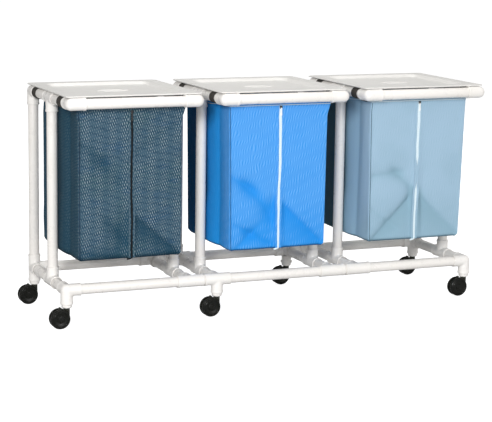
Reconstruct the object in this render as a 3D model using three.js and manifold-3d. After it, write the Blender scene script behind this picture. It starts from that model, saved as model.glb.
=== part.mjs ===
// Laundry cart: three fabric hampers side by side on one wheeled base of plastic pipe and slip
// fittings. Each hamper has its own top frame, a lid hinged on its rear tube, and a bag with a
// front zipper that hangs by four straps. Six twin-wheel casters carry the base.
// Millimetres, +Z up, +X along the cart to the right as seen from the front, front towards -Y.

import * as THREE from "three";
import { mergeVertices } from "three/addons/utils/BufferGeometryUtils.js";
import Module from "manifold-3d";

const wasm = await Module();
wasm.setup();

// ---------------------------------------------------------------- driving dimensions

const PIPE_R = 21.1; // nominal 1 1/4 inch pipe
const BORE_R = 17.5; // inside of the pipe
const FITTING_R = 25.4; // outside of a socket
const REACH = 56; // from a fitting's centre to the mouth of each socket
const SOCKET_START = 20; // from a fitting's centre to the bottom of a socket
const OPEN_START = 12; // the same where the socket runs into the fitting's own hollow
const PIPE_START = 25; // from a fitting's centre to the end of the pipe in its socket
const CORNER_BACK = 21; // how far a corner fitting reaches past its centre
const BORE_END = 13; // and how far its hollow does
const GAP = 0.4; // clearance between touching pieces

const HAMPER_WIDTH = 515; // between the side tubes of one hamper
const HAMPER_PITCH = 632.5; // from one hamper's centre to the next
const BASE_DEPTH = 457; // from the front rail to the rear rail
const BASE_Z = 152; // height of the base rails
const TOP_Z = 887; // height of the top tubes
const FRONT_TUBE_Y = -70; // the top front tube stands out in front of the front rail
const UPRIGHT_Y = 190; // the front uprights are set back from the front rail

const WHEEL_R = 40;
const WHEEL_TRAIL = 29; // from the swivel axis to the wheel axis
const WHEEL_INNER = 7; // half of the gap between the twin wheels
const WHEEL_OUTER = 21; // half of the width over the twin wheels
const AXLE_R = 3;
const STEM_R = 5.5;
const STEM_LENGTH = 33;
const LEG_BOTTOM_Z = 82.5;

const LID_SIDE = 20; // the lid overhangs the side tubes' axes by this much
const LID_FRONT = 5; // and the front tube's axis
const LID_REAR = 28; // and the rear tube's axis
const LID_Z = 25.8; // underside of the lid above the top tubes' axes
const LID_SHEET = 5;
const LID_RIM = 57; // width of the rim round the recess
const LID_RECESS = 12; // depth of the recess
const LID_SLOPE = 9; // width of the recess's sloping wall
const CLIP_X = 150; // the hinge clips' distance from the lid's middle
const CLIP_WIDTH = 25;
const CLIP_THICK = 3;

const BAG_FRONT_Y = -28;
const BAG_REAR_Y = 425;
const BAG_BOTTOM_Z = 266;
const BAG_TOP_Z = 872;
const BAG_BOTTOM_HALF = 214; // half width at the bottom
const BAG_TOP_HALF = 228; // half width at the mouth
const BAG_WALL = 3;
const STRAP_Y = [26, 372]; // middles of the front and rear straps
const STRAP_WIDTH = 50;
const STRAP_THICK = 2.2;
const ZIPPER_BOTTOM_Z = 272;
const ZIPPER_TOP_Z = 852;

const PIPE_SIDES = 12; // corners on the axes' directions, so pipes and sockets lie flat to flat
const TURNING_BORE_R = (PIPE_R + GAP) / Math.cos(Math.PI / PIPE_SIDES); // clears a pipe at any angle

const WHITE_PIPE = { color: 0xf4f0ea, roughness: 0.35, metalness: 0 };
const WHITE_SHEET = { color: 0xe9e8e4, roughness: 0.45, metalness: 0 };
const BLACK_NYLON = { color: 0x141413, roughness: 0.5, metalness: 0 };
const ZIPPER_METAL = { color: 0x4a4a4c, roughness: 0.4, metalness: 0.8 };
const FABRICS = {
  left: { color: 0x40586c, roughness: 0.9, metalness: 0 },
  middle: { color: 0x3c93e0, roughness: 0.8, metalness: 0 },
  right: { color: 0x8fb4c9, roughness: 0.8, metalness: 0 },
};

// Hampers from left to right, and the frame's six planes across the cart with them.
const HAMPERS = { left: -HAMPER_PITCH, middle: 0, right: HAMPER_PITCH };
const PLANES = Object.values(HAMPERS).flatMap((x) => [x - HAMPER_WIDTH / 2, x + HAMPER_WIDTH / 2]);

// Legs: the front and rear ones at the ends, and one staggered pair at the middle hamper.
const LEGS = {
  front_left: [PLANES[0], 0],
  front_middle: [PLANES[2], 0],
  front_right: [PLANES[5], 0],
  rear_left: [PLANES[0], BASE_DEPTH],
  rear_middle: [PLANES[3], BASE_DEPTH],
  rear_right: [PLANES[5], BASE_DEPTH],
};

const X = new THREE.Vector3(1, 0, 0);
const Y = new THREE.Vector3(0, 1, 0);
const Z = new THREE.Vector3(0, 0, 1);
const minus = (direction) => direction.clone().negate();
const at = (x, y, z) => new THREE.Vector3(x, y, z);
const along = (point, direction, distance) => point.clone().addScaledVector(direction, distance);

// ---------------------------------------------------------------- solids

function solid(geometry) {
  const bare = geometry.index ? geometry.toNonIndexed() : geometry.clone();
  bare.deleteAttribute("normal");
  bare.deleteAttribute("uv");
  const merged = mergeVertices(bare, 1e-4);
  return new wasm.Manifold(
    new wasm.Mesh({
      numProp: 3,
      vertProperties: new Float32Array(merged.attributes.position.array),
      triVerts: new Uint32Array(merged.index.array),
    }),
  );
}

function geometryOf(made) {
  const mesh = made.getMesh();
  const geometry = new THREE.BufferGeometry();
  geometry.setAttribute("position", new THREE.BufferAttribute(mesh.vertProperties, 3));
  geometry.setIndex(new THREE.BufferAttribute(mesh.triVerts, 1));
  const flat = geometry.toNonIndexed();
  flat.computeVertexNormals();
  return flat;
}

const join = (parts) => parts.reduce((whole, part) => whole.add(part));
const cut = (whole, cutters) => cutters.reduce((rest, cutter) => rest.subtract(cutter), whole);

// A round bar from one point to another.
function bar(from, to, radius, sides = PIPE_SIDES) {
  const span = to.clone().sub(from);
  const geometry = new THREE.CylinderGeometry(radius, radius, span.length(), sides);
  geometry.applyQuaternion(new THREE.Quaternion().setFromUnitVectors(Y, span.clone().normalize()));
  geometry.translate(...from.clone().add(to).multiplyScalar(0.5).toArray());
  return solid(geometry);
}

function box(low, high) {
  const size = high.clone().sub(low);
  const geometry = new THREE.BoxGeometry(size.x, size.y, size.z);
  geometry.translate(...low.clone().add(high).multiplyScalar(0.5).toArray());
  return solid(geometry);
}

// ---------------------------------------------------------------- pipe and fittings

// The outside of a socket that leaves a fitting's centre, and the bore that takes the next pipe.
const hub = (centre, direction, back = 0) =>
  bar(along(centre, direction, -back), along(centre, direction, REACH), FITTING_R);
const socket = (centre, direction, start = SOCKET_START) =>
  bar(along(centre, direction, start), along(centre, direction, REACH + 1), PIPE_R + GAP);
const collar = (centre, direction) =>
  bar(along(centre, direction, -REACH), along(centre, direction, REACH), FITTING_R);

// A loose pipe between the centres of two fittings.
function loosePipe(from, to) {
  const direction = to.clone().sub(from).normalize();
  const start = along(from, direction, PIPE_START);
  const end = along(to, direction, -PIPE_START);
  const bore = bar(along(start, direction, -1), along(end, direction, 1), BORE_R);
  return cut(bar(start, end, PIPE_R), [bore]);
}

// A base rail: pipe with a fitting at each of the six planes. `branches` lists, for each plane,
// the directions of its open sockets.
function baseRail(y, branches) {
  const centres = PLANES.map((x) => at(x, y, BASE_Z));
  const last = centres.length - 1;
  const outside = [bar(centres[0], centres[last], PIPE_R)];
  const bores = [
    bar(along(centres[0], X, -BORE_END), along(centres[last], X, BORE_END), BORE_R),
  ];
  centres.forEach((centre, plane) => {
    const corner = plane === 0 || plane === last;
    outside.push(corner ? hub(centre, plane === 0 ? X : minus(X), CORNER_BACK) : collar(centre, X));
    for (const direction of branches[plane]) {
      outside.push(hub(centre, direction));
      bores.push(socket(centre, direction, plane === 0 ? OPEN_START : SOCKET_START));
    }
  });
  return cut(join(outside), bores);
}

// A cross member of the base, with the tee that carries a front upright.
function crossMember() {
  const tee = at(0, UPRIGHT_Y, BASE_Z);
  const start = at(0, PIPE_START, BASE_Z);
  const end = at(0, BASE_DEPTH - PIPE_START, BASE_Z);
  const outside = join([bar(start, end, PIPE_R), collar(tee, Y), hub(tee, Z)]);
  const bore = bar(along(start, Y, -1), along(end, Y, 1), BORE_R);
  return cut(outside, [bore, socket(tee, Z)]);
}

// A hamper's top side tube: front elbow, tee over the front upright, rear three-way fitting. The
// lid turns about the rear tube's axis, so the rear fitting stays within its radius of that axis.
function sideTube(inward) {
  const front = at(0, FRONT_TUBE_Y, TOP_Z);
  const tee = at(0, UPRIGHT_Y, TOP_Z);
  const rear = at(0, BASE_DEPTH, TOP_Z);
  const outside = join([
    bar(front, rear, PIPE_R),
    hub(front, Y, CORNER_BACK),
    hub(front, inward),
    collar(tee, Y),
    hub(tee, minus(Z)),
    hub(rear, minus(Y)),
    hub(rear, inward, CORNER_BACK),
    hub(rear, minus(Z)),
  ]);
  const through = bar(along(front, Y, -BORE_END), along(rear, Y, BORE_END), BORE_R);
  return cut(outside, [
    through,
    socket(front, inward, OPEN_START),
    socket(tee, minus(Z)),
    socket(rear, inward),
    socket(rear, minus(Z)),
  ]);
}

// A leg: the stub in the fitting's lower socket, closed by the insert that takes a caster stem.
function leg() {
  const stub = bar(at(0, 0, LEG_BOTTOM_Z), at(0, 0, BASE_Z - PIPE_START), PIPE_R);
  const stemHole = bar(at(0, 0, LEG_BOTTOM_Z - 1), at(0, 0, LEG_BOTTOM_Z + STEM_LENGTH + 2), STEM_R + 2 * GAP);
  return cut(stub, [stemHole]);
}

// ---------------------------------------------------------------- casters

// The fork between the twin wheels, with its hood over them and the stem above. The swivel axis
// is the Z axis, and the wheels trail towards -X.
const axlePoint = (y) => at(-WHEEL_TRAIL, y, WHEEL_R);

function casterFork() {
  const neckTop = LEG_BOTTOM_Z - 1;
  const web = WHEEL_INNER - GAP;
  const body = join([
    bar(axlePoint(-web), axlePoint(web), WHEEL_R - 6),
    box(at(-WHEEL_TRAIL, -web, 52), at(15, web, neckTop)),
    bar(at(0, 0, 50), at(0, 0, neckTop), 16),
    bar(at(0, 0, neckTop - 2), at(0, 0, neckTop + 1 + STEM_LENGTH), STEM_R, 8),
  ]);
  const wheelRoom = [-1, 1].map((side) => bar(axlePoint(side * web), axlePoint(side * 40), WHEEL_R + 1.5, 16));
  const axleHole = bar(axlePoint(-20), axlePoint(20), AXLE_R + 2 * GAP, 8);
  return cut(body, [...wheelRoom, axleHole]);
}

// Both wheels and their axle, round the Y axis.
const WHEEL_SIDES = 20;

function casterWheels() {
  const profile = [
    [0, -WHEEL_OUTER],
    [WHEEL_R, -WHEEL_OUTER],
    [WHEEL_R, -WHEEL_INNER],
    [AXLE_R, -WHEEL_INNER],
    [AXLE_R, WHEEL_INNER],
    [WHEEL_R, WHEEL_INNER],
    [WHEEL_R, WHEEL_OUTER],
    [0, WHEEL_OUTER],
  ].map(([radius, y]) => new THREE.Vector2(radius, y));
  const wheels = new THREE.LatheGeometry(profile, WHEEL_SIDES);
  wheels.rotateY(Math.PI / WHEEL_SIDES); // a flat of the rim, not a corner, meets the floor
  return solid(wheels);
}

// ---------------------------------------------------------------- lid

// A rectangle with round corners about (0, middle).
function roundedRectangle(halfWidth, low, high, radius) {
  const shape = new THREE.Shape();
  shape.moveTo(halfWidth - radius, low);
  shape.absarc(halfWidth - radius, low + radius, radius, -Math.PI / 2, 0);
  shape.absarc(halfWidth - radius, high - radius, radius, 0, Math.PI / 2);
  shape.absarc(-halfWidth + radius, high - radius, radius, Math.PI / 2, Math.PI);
  shape.absarc(-halfWidth + radius, low + radius, radius, Math.PI, 1.5 * Math.PI);
  return shape;
}

const LID_HALF = HAMPER_WIDTH / 2 + LID_SIDE;
const LID_LOW_Y = FRONT_TUBE_Y - LID_FRONT;
const LID_HIGH_Y = BASE_DEPTH + LID_REAR;
const LID_UNDER_Z = TOP_Z + LID_Z;

// A pan with sloping walls, as wide as the recess plus `wall` at its mouth, whose floor lies at z.
function pan(z, wall) {
  const inset = LID_RIM + LID_SLOPE - wall;
  const floor = roundedRectangle(LID_HALF - inset, LID_LOW_Y + inset, LID_HIGH_Y - inset, 40);
  const geometry = new THREE.ExtrudeGeometry(floor, {
    depth: LID_RECESS,
    bevelThickness: LID_RECESS,
    bevelSize: LID_SLOPE,
    bevelSegments: 1,
    curveSegments: 3,
  });
  geometry.translate(0, 0, z + LID_RECESS);
  return solid(geometry);
}

function hingeClip(x) {
  const axis = at(x, BASE_DEPTH, TOP_Z);
  const half = CLIP_WIDTH / 2;
  const ring = bar(along(axis, X, -half), along(axis, X, half), TURNING_BORE_R + CLIP_THICK);
  const root = box(axis.clone().add(at(-half, -15, 14)), axis.clone().add(at(half, 15, LID_Z + 1)));
  const bore = bar(along(axis, X, -half - 1), along(axis, X, half + 1), TURNING_BORE_R);
  const mouth = box(axis.clone().add(at(-half - 1, -30, -30)), axis.clone().add(at(half + 1, 30, -9)));
  return cut(join([ring, root]), [bore, mouth]);
}

function lid() {
  const rimTop = LID_UNDER_Z + LID_SHEET;
  const rim = new THREE.ExtrudeGeometry(roundedRectangle(LID_HALF, LID_LOW_Y, LID_HIGH_Y, 16), {
    depth: LID_SHEET,
    bevelEnabled: false,
    curveSegments: 3,
  });
  rim.translate(0, 0, LID_UNDER_Z);
  const above = box(at(-LID_HALF, LID_LOW_Y, rimTop), at(LID_HALF, LID_HIGH_Y, rimTop + 60));
  const shell = cut(join([solid(rim), pan(rimTop - LID_RECESS - 3, 3)]), [above, pan(rimTop - LID_RECESS, 0)]);
  return join([shell, hingeClip(-CLIP_X), hingeClip(CLIP_X)]);
}

// ---------------------------------------------------------------- bag

// A box whose sides lean out from the bottom to the mouth, between two planes across Y.
function flaredBox(bottomHalf, topHalf, lowY, highY, lowZ, highZ) {
  const outline = new THREE.Shape([
    new THREE.Vector2(-bottomHalf, lowZ),
    new THREE.Vector2(bottomHalf, lowZ),
    new THREE.Vector2(topHalf, highZ),
    new THREE.Vector2(-topHalf, highZ),
  ]);
  const geometry = new THREE.ExtrudeGeometry(outline, { depth: highY - lowY, bevelEnabled: false });
  geometry.rotateX(Math.PI / 2);
  geometry.translate(0, highY, 0);
  return solid(geometry);
}

// A strap sewn to the bag's side and looped round a side tube.
function strap(side, y) {
  const tubeX = (side * HAMPER_WIDTH) / 2;
  const half = STRAP_WIDTH / 2;
  const loop = bar(at(tubeX, y - half, TOP_Z), at(tubeX, y + half, TOP_Z), PIPE_R + GAP + STRAP_THICK);
  const inner = side * (BAG_TOP_HALF - BAG_WALL);
  const outer = tubeX - side * (PIPE_R + GAP + 0.8);
  const tail = box(
    at(Math.min(inner, outer), y - half, TOP_Z - 32),
    at(Math.max(inner, outer), y + half, TOP_Z + 3),
  );
  const tube = bar(at(tubeX, y - half - 1, TOP_Z), at(tubeX, y + half + 1, TOP_Z), PIPE_R + GAP);
  return cut(join([loop, tail]), [tube]);
}

const ZIPPER_HALF = 2.5;
const ZIPPER_PROUD = 2;

function bag() {
  const shell = cut(
    flaredBox(BAG_BOTTOM_HALF, BAG_TOP_HALF, BAG_FRONT_Y, BAG_REAR_Y, BAG_BOTTOM_Z, BAG_TOP_Z),
    [
      flaredBox(
        BAG_BOTTOM_HALF - BAG_WALL,
        BAG_TOP_HALF - BAG_WALL,
        BAG_FRONT_Y + BAG_WALL,
        BAG_REAR_Y - BAG_WALL,
        BAG_BOTTOM_Z + BAG_WALL,
        BAG_TOP_Z + BAG_WALL,
      ),
    ],
  );
  const zipper = box(
    at(-ZIPPER_HALF, BAG_FRONT_Y - ZIPPER_PROUD, ZIPPER_BOTTOM_Z),
    at(ZIPPER_HALF, BAG_FRONT_Y + 1, ZIPPER_TOP_Z),
  );
  const straps = [-1, 1].flatMap((side) => STRAP_Y.map((y) => strap(side, y)));
  return join([shell, zipper, ...straps]);
}

// The slider astride the zipper's coil, with the pull tab that hangs from it.
function zipperPull() {
  const face = BAG_FRONT_Y - GAP;
  const slider = box(at(-6, face - 4.6, ZIPPER_TOP_Z - 14), at(6, face, ZIPPER_TOP_Z));
  const groove = box(
    at(-ZIPPER_HALF - GAP, BAG_FRONT_Y - ZIPPER_PROUD - GAP, ZIPPER_TOP_Z - 20),
    at(ZIPPER_HALF + GAP, BAG_FRONT_Y + 5, ZIPPER_TOP_Z + 5),
  );
  const tab = box(at(-4.5, face - 5.6, ZIPPER_TOP_Z - 42), at(4.5, face - 4, ZIPPER_TOP_Z - 4));
  return cut(join([slider, tab]), [groove]);
}

// ---------------------------------------------------------------- assembly

function piece(name, geometry, finish) {
  const mesh = new THREE.Mesh(geometry, new THREE.MeshStandardMaterial(finish));
  mesh.name = name;
  return mesh;
}

function placed(object, x, y, z) {
  object.position.set(x, y, z);
  return object;
}

function base() {
  const group = new THREE.Group();
  const down = minus(Z);
  const isLeg = (plane, y) => Object.values(LEGS).some(([x, legY]) => x === PLANES[plane] && legY === y);
  const frontBranches = PLANES.map((_, plane) => (isLeg(plane, 0) ? [Y, down] : [Y]));
  const rearBranches = PLANES.map((_, plane) =>
    isLeg(plane, BASE_DEPTH) ? [minus(Y), Z, down] : [minus(Y), Z],
  );
  group.add(piece("base_front_rail", geometryOf(baseRail(0, frontBranches)), WHITE_PIPE));
  group.add(piece("base_rear_rail", geometryOf(baseRail(BASE_DEPTH, rearBranches)), WHITE_PIPE));

  const cross = geometryOf(crossMember());
  const upright = geometryOf(loosePipe(at(0, 0, BASE_Z), at(0, 0, TOP_Z)));
  PLANES.forEach((x, plane) => {
    const number = plane + 1;
    group.add(placed(piece(`cross_member_${number}`, cross, WHITE_PIPE), x, 0, 0));
    group.add(placed(piece(`front_upright_${number}`, upright, WHITE_PIPE), x, UPRIGHT_Y, 0));
    group.add(placed(piece(`rear_upright_${number}`, upright, WHITE_PIPE), x, BASE_DEPTH, 0));
  });
  return group;
}

function casters() {
  const group = new THREE.Group();
  const legShape = geometryOf(leg());
  const fork = geometryOf(casterFork());
  const wheels = geometryOf(casterWheels());
  for (const [place, [x, y]] of Object.entries(LEGS)) {
    const foot = placed(new THREE.Group(), x, y, 0);
    foot.add(piece(`leg_${place}`, legShape, WHITE_PIPE));
    foot.add(piece(`caster_fork_${place}`, fork, BLACK_NYLON));
    foot.add(placed(piece(`caster_wheels_${place}`, wheels, BLACK_NYLON), -WHEEL_TRAIL, 0, WHEEL_R));
    group.add(foot);
  }
  return group;
}

function hampers() {
  const group = new THREE.Group();
  const sides = [geometryOf(sideTube(X)), geometryOf(sideTube(minus(X)))];
  const halfWidth = HAMPER_WIDTH / 2;
  const tube = geometryOf(loosePipe(at(-halfWidth, 0, TOP_Z), at(halfWidth, 0, TOP_Z)));
  const lidShape = geometryOf(lid());
  const bagShape = geometryOf(bag());
  const pull = geometryOf(zipperPull());
  Object.entries(HAMPERS).forEach(([place, x], index) => {
    const hamper = placed(new THREE.Group(), x, 0, 0);
    sides.forEach((shape, side) => {
      const tubeX = (2 * side - 1) * halfWidth;
      hamper.add(placed(piece(`side_tube_${2 * index + side + 1}`, shape, WHITE_PIPE), tubeX, 0, 0));
    });
    hamper.add(placed(piece(`front_tube_${place}`, tube, WHITE_PIPE), 0, FRONT_TUBE_Y, 0));
    hamper.add(placed(piece(`rear_tube_${place}`, tube, WHITE_PIPE), 0, BASE_DEPTH, 0));
    hamper.add(piece(`lid_${place}`, lidShape, WHITE_SHEET));
    hamper.add(piece(`bag_${place}`, bagShape, FABRICS[place]));
    hamper.add(piece(`zipper_pull_${place}`, pull, ZIPPER_METAL));
    group.add(hamper);
  });
  return group;
}

const cart = new THREE.Group();
cart.add(base(), casters(), hampers());

// The origin is the bottom centre of the whole cart's box.
const bounds = new THREE.Box3().setFromObject(cart, true);
const centre = bounds.getCenter(new THREE.Vector3());
cart.position.set(-centre.x, -centre.y, -bounds.min.z);

export default cart;
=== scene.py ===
"""Laundry cart: three fabric hampers with hinged lids on one wheeled base of white plastic pipe.

+Z is up, +X runs along the cart to the right as seen from the front, and the front looks towards -Y. Measures
are in millimetres until Shape.mesh makes metres of them, and the stage is in metres. Every piece is built in
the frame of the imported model, in the order: measures, mesh tools, materials, pieces, stage.
"""

import functools
import itertools
import math

import bpy
import numpy as np
from mathutils import Matrix, Vector

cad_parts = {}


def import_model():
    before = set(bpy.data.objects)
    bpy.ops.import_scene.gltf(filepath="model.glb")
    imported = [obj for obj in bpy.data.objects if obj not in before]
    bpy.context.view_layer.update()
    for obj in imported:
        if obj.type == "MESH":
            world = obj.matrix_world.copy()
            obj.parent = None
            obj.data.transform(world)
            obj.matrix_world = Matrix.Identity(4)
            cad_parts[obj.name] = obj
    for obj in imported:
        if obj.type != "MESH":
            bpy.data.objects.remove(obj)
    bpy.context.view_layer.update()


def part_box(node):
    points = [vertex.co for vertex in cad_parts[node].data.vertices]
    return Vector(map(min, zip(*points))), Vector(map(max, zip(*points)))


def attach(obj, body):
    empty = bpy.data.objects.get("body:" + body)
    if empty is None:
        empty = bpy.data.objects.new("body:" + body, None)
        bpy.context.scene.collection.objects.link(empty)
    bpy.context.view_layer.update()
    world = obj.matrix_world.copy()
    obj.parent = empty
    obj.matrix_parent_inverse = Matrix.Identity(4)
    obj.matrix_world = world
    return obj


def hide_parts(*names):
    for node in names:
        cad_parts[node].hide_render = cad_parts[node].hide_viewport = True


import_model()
MM = 0.001  # metres

# ------------------------------------------------------------------------- measures


def box(node):
    """A node's lowest and highest corner."""
    return [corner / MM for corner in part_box(node)]


def middle(node):
    low, high = box(node)
    return (low + high) / 2


# Pipe and fittings
PIPE_R = 21.1
BORE_R = 17.5
FITTING_R = 25.4  # outside of the bead round a socket's mouth
BARREL_R = 24.3  # outside of a socket behind its bead
REACH = 56  # from a fitting's centre to the mouth of each socket
PIPE_START = 25  # from a fitting's centre to the end of the pipe in its socket
BEAD = 9  # length of that bead
SOCKET_GAP = 0.5
FILLET = 7
NET_CELL = 2.6  # of the grid that a fitting's mesh is drawn from
ROUND_SIDES = 56

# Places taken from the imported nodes
PLACES = ("left", "middle", "right")
LEG_PLACES = ("front_left", "front_middle", "front_right", "rear_left", "rear_middle", "rear_right")
PLANES = [middle(f"cross_member_{number}").x for number in range(1, 7)]
BASE_Z = box("cross_member_1")[0].z + FITTING_R
FRONT_Y = box("base_front_rail")[0].y + FITTING_R
REAR_Y = box("base_rear_rail")[1].y - FITTING_R
UPRIGHT_Y = middle("front_upright_1").y
TOP_Z = middle("front_tube_left").z
FRONT_TUBE_Y = middle("front_tube_left").y
HAMPER_X = {place: middle(f"lid_{place}").x for place in PLACES}
LEG_AT = {place: middle(f"leg_{place}") for place in LEG_PLACES}

# Lid: distances in from its edge, and heights from the top of its rim
LID_LOW, LID_HIGH = box("lid_left")
LID_HALF = (LID_HIGH.x - LID_LOW.x) / 2
LID_SHEET = 5
LID_RIM = 57
LID_SLOPE = 9
RECESS_INSET = LID_RIM + LID_SLOPE
LID_RECESS = 12
LID_FLOOR_SHEET = 3
LID_CORNER = 16
RECESS_CORNER = 40
CLIP_X = 150
CLIP_WIDTH = 25
CLIP_THICK = 3

# How much wider than its top a rib is, and the height above the recess; the same for a clip's pad and the
# height above the rear tube's middle.
RIB_HALF_WIDTH = 5.5
RIB_SECTION = ((1.5, -1.0), (0, 0), (-1.2, 1.5), (-2.4, 2.2), (-4, 2.2))
PAD_HALF_DEPTH = 11
PAD_SECTION = ((0, 19), (1.0, 21.5), (3.0, 24.2), (3.5, 26.2))

# Bag
BAG_LOW, BAG_HIGH = box("bag_left")
BAG_FRONT_Y = BAG_LOW.y + 2  # the zipper stands proud of the front by that much
BAG_REAR_Y = BAG_HIGH.y
BAG_MIDDLE_Y = (BAG_REAR_Y + BAG_FRONT_Y) / 2
BAG_HALF_DEPTH = (BAG_REAR_Y - BAG_FRONT_Y) / 2
BAG_BOTTOM_Z = BAG_LOW.z
BAG_TOP_Z = TOP_Z - 15
BAG_HEIGHT = BAG_TOP_Z - BAG_BOTTOM_Z
BAG_FOOT_R = 16
SIDE_FLARE = 0.045
WIDEST_HALF = 233
# How far each side hangs from the bag's middle, near the mouth and near the floor.
SIDE_REACH = {
    "left": {"left": (222, 221), "right": (214, 214)},
    "middle": {"left": (228, 219), "right": (216, 211)},
    "right": {"left": (232, 226), "right": (228, 212)},
}
# How far behind the front the painted shade of the sides begins, and where it is full.
PAINTED_SIDE_SHADE = {"left": (0, 15), "middle": (25, 130), "right": (25, 130)}
BAG_TOP_HALF = 228
BAG_CORNER = 9
CORNER_STRETCH = 5.5
BAG_CLOTH = 1.2
HEM_Z = BAG_TOP_Z - 24  # where the hem ends
SEAM_WIDTH = 2.6
SEAM_HEIGHT = 0.4
STRAP_WIDTH = 50
STRAP_THICK = 2
STRAP_Y = [FRONT_TUBE_Y + 96, REAR_Y - 85]
# The strap's two ends, as points: distance off the bag's wall, and depth below the tube's middle.
STRAP_TAILS = (((1.6, 34), (1.8, 25), (4.6, 12)), ((7.0, 18), (3.9, 28), (3.7, 34)))

# Stitches: the form is (place along, thickness), as shares of the length and the radius.
STITCH_PITCH = 5.5
STITCH_LENGTH = 3.4
STITCH_R = 0.5
STITCH_SIDES = 6
STITCH_FORM = ((-0.5, 0.35), (-0.25, 1.0), (0.25, 1.0), (0.5, 0.35))

# Zipper
ZIPPER_TOP_Z = box("zipper_pull_left")[1].z
ZIPPER_BOTTOM_Z = BAG_BOTTOM_Z + 6
TOOTH_PITCH = 3.2
TOOTH_HALF = np.array([1.9, 0.75, 0.29 * TOOTH_PITCH])
TAPE_WIDTH = 17
ZIPPER_EDGE = 9  # width of the cloth folded back beside it
TAPE_END = ((3, 6), (-6, 1), (-19, -1))  # across from the zipper and up from the floor
ZIPPER_LEAN = {"left": 0, "middle": 2, "right": 7}  # how far left the lower end lies

# Slider: (height from its top, half width). Bridge: (proud, down). Tab: (down, width).
SLIDER_WIDTHS = ((0, 4.2), (-1, 5.4), (-4, 5.8), (-8, 5.2), (-12, 4.0), (-13.5, 3.2))
BRIDGE_LINE = ((1.0, 2), (2.4, 3), (2.8, 6), (2.4, 9), (1.0, 10))
TAB_WIDTHS = ((7, 3.4), (9, 5.0), (12, 6.4), (18, 6.2), (26, 7.2), (34, 8.4), (39, 7.6), (41, 5.0))

# Casters
WHEEL_AT = {place: middle(f"caster_wheels_{place}") for place in LEG_PLACES}
WHEEL_R = WHEEL_AT["front_left"].z
WHEEL_INNER = 7
WHEEL_OUTER = 21
WHEEL_TRAIL = LEG_AT["front_left"].x - WHEEL_AT["front_left"].x
WHEEL_ROOM = 1.5
AXLE_R = 2.9
STEM_R = 5.5
LEG_BOTTOM_Z = box("leg_front_left")[0].z
NECK_R = 12.5
NECK_FOOT_Z = 50
NECK_TOP_Z = LEG_BOTTOM_Z - 1
WEB_HALF = 6.4  # half the thickness of the fork between the wheels
HOOD_FRONT_X = 7
HOOD_FOOT_Z = 48
HOOD_SLOPE = 0.2
LUG_X = -27.5
LUG_Z = (68, 80)
LUG_R = 5
FORK_FILLET = 3
FORK_CELL = 1.6

X = np.array([1.0, 0.0, 0.0])
Y = np.array([0.0, 1.0, 0.0])
Z = np.array([0.0, 0.0, 1.0])

# ------------------------------------------------------------------------- mesh tools

# Shares of painted shade at each point of a bag: in the folds, on the sides, and between and under the
# hampers.
MASKS = ("painted_crease_shade", "side", "painted_deep_shade")


class Shape:
    """Closed forms gathered into one mesh, with a cloth coordinate for each corner of each face, and for each
    point three shares of painted shade, in the order of MASKS: how deep in a fold it lies, how far it belongs
    to a bag's side, and how far to the cloth between the hampers and under them."""

    def __init__(self):
        self.points = []
        self.masks = []
        self.faces = []
        self.weave = []
        self.slots = []
        self.count = 0

    def add(self, points, faces, slot=0, weave=None, masks=None):
        """Adds one closed form, turned so that its faces point out."""
        faces = [np.asarray(group) for group in faces if len(group)]
        weave = weave or [np.zeros(group.shape + (2,)) for group in faces]
        if signed_volume(points, faces) < 0:
            faces = [group[:, ::-1] for group in faces]
            weave = [group[:, ::-1] for group in weave]
        self.points.append(points)
        self.masks.append(np.zeros((len(points), len(MASKS))) if masks is None else masks)
        for group, group_weave in zip(faces, weave):
            self.faces += (group + self.count).tolist()
            self.weave.append(group_weave.reshape(-1, 2))
            self.slots.append(np.full(len(group), slot))
        self.count += len(points)

    def mesh(self, name, sharp_angle):
        mesh = bpy.data.meshes.new(name)
        mesh.from_pydata((np.concatenate(self.points) * MM).tolist(), [], self.faces)
        layer = mesh.uv_layers.new(name="weave")
        layer.data.foreach_set("uv", (np.concatenate(self.weave) * MM).astype(np.float32).ravel())
        masks = np.concatenate(self.masks).astype(np.float32)
        for name_of_mask, values in zip(MASKS, masks.T):
            attribute = mesh.attributes.new(name_of_mask, "FLOAT", "POINT")
            attribute.data.foreach_set("value", np.ascontiguousarray(values))
        mesh.polygons.foreach_set("material_index", np.concatenate(self.slots).astype(np.int32))
        mesh.polygons.foreach_set("use_smooth", np.ones(len(mesh.polygons), bool))
        mesh.set_sharp_from_angle(angle=math.radians(sharp_angle))
        mesh.update()
        return mesh


def signed_volume(points, faces):
    total = 0.0
    for group in faces:
        for corner in range(1, group.shape[1] - 1):
            a, b, c = points[group[:, 0]], points[group[:, corner]], points[group[:, corner + 1]]
            total += np.einsum("ij,ij->", a, np.cross(b, c))
    return total


def make_piece(name, shape, body, materials, slot, replaces=(), sharp_angle=40):
    """One Blender object of that shape, which rides on a body and stands for some CAD nodes."""
    piece = bpy.data.objects.new(name, shape.mesh(name, sharp_angle))
    bpy.context.scene.collection.objects.link(piece)
    for material in materials:
        piece.data.materials.append(material)
    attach(piece, body)
    if replaces:
        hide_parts(*replaces)
    return piece


def unit(vectors):
    return vectors / np.maximum(np.linalg.norm(vectors, axis=-1, keepdims=True), 1e-12)


def distances(path):
    """How far along a path each of its points is."""
    return np.concatenate([[0], np.cumsum(np.linalg.norm(np.diff(path, axis=0), axis=-1))])


def cells(grid):
    """The four corners of each cell of a grid of values."""
    corners = np.stack([grid[:-1, :-1], grid[:-1, 1:], grid[1:, 1:], grid[1:, :-1]], 2)
    return corners.reshape(-1, *corners.shape[2:])


def at_height(outline, x, y, z):
    """A flat outline as a level loop about (x, y)."""
    return np.column_stack([outline[:, 0] + x, outline[:, 1] + y, np.full(len(outline), z)])


def smooth_step(value, low, high):
    """0 up to `low`, 1 from `high` on, and a soft rise between."""
    share = np.clip((value - low) / (high - low), 0, 1)
    return share * share * (3 - 2 * share)


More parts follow.
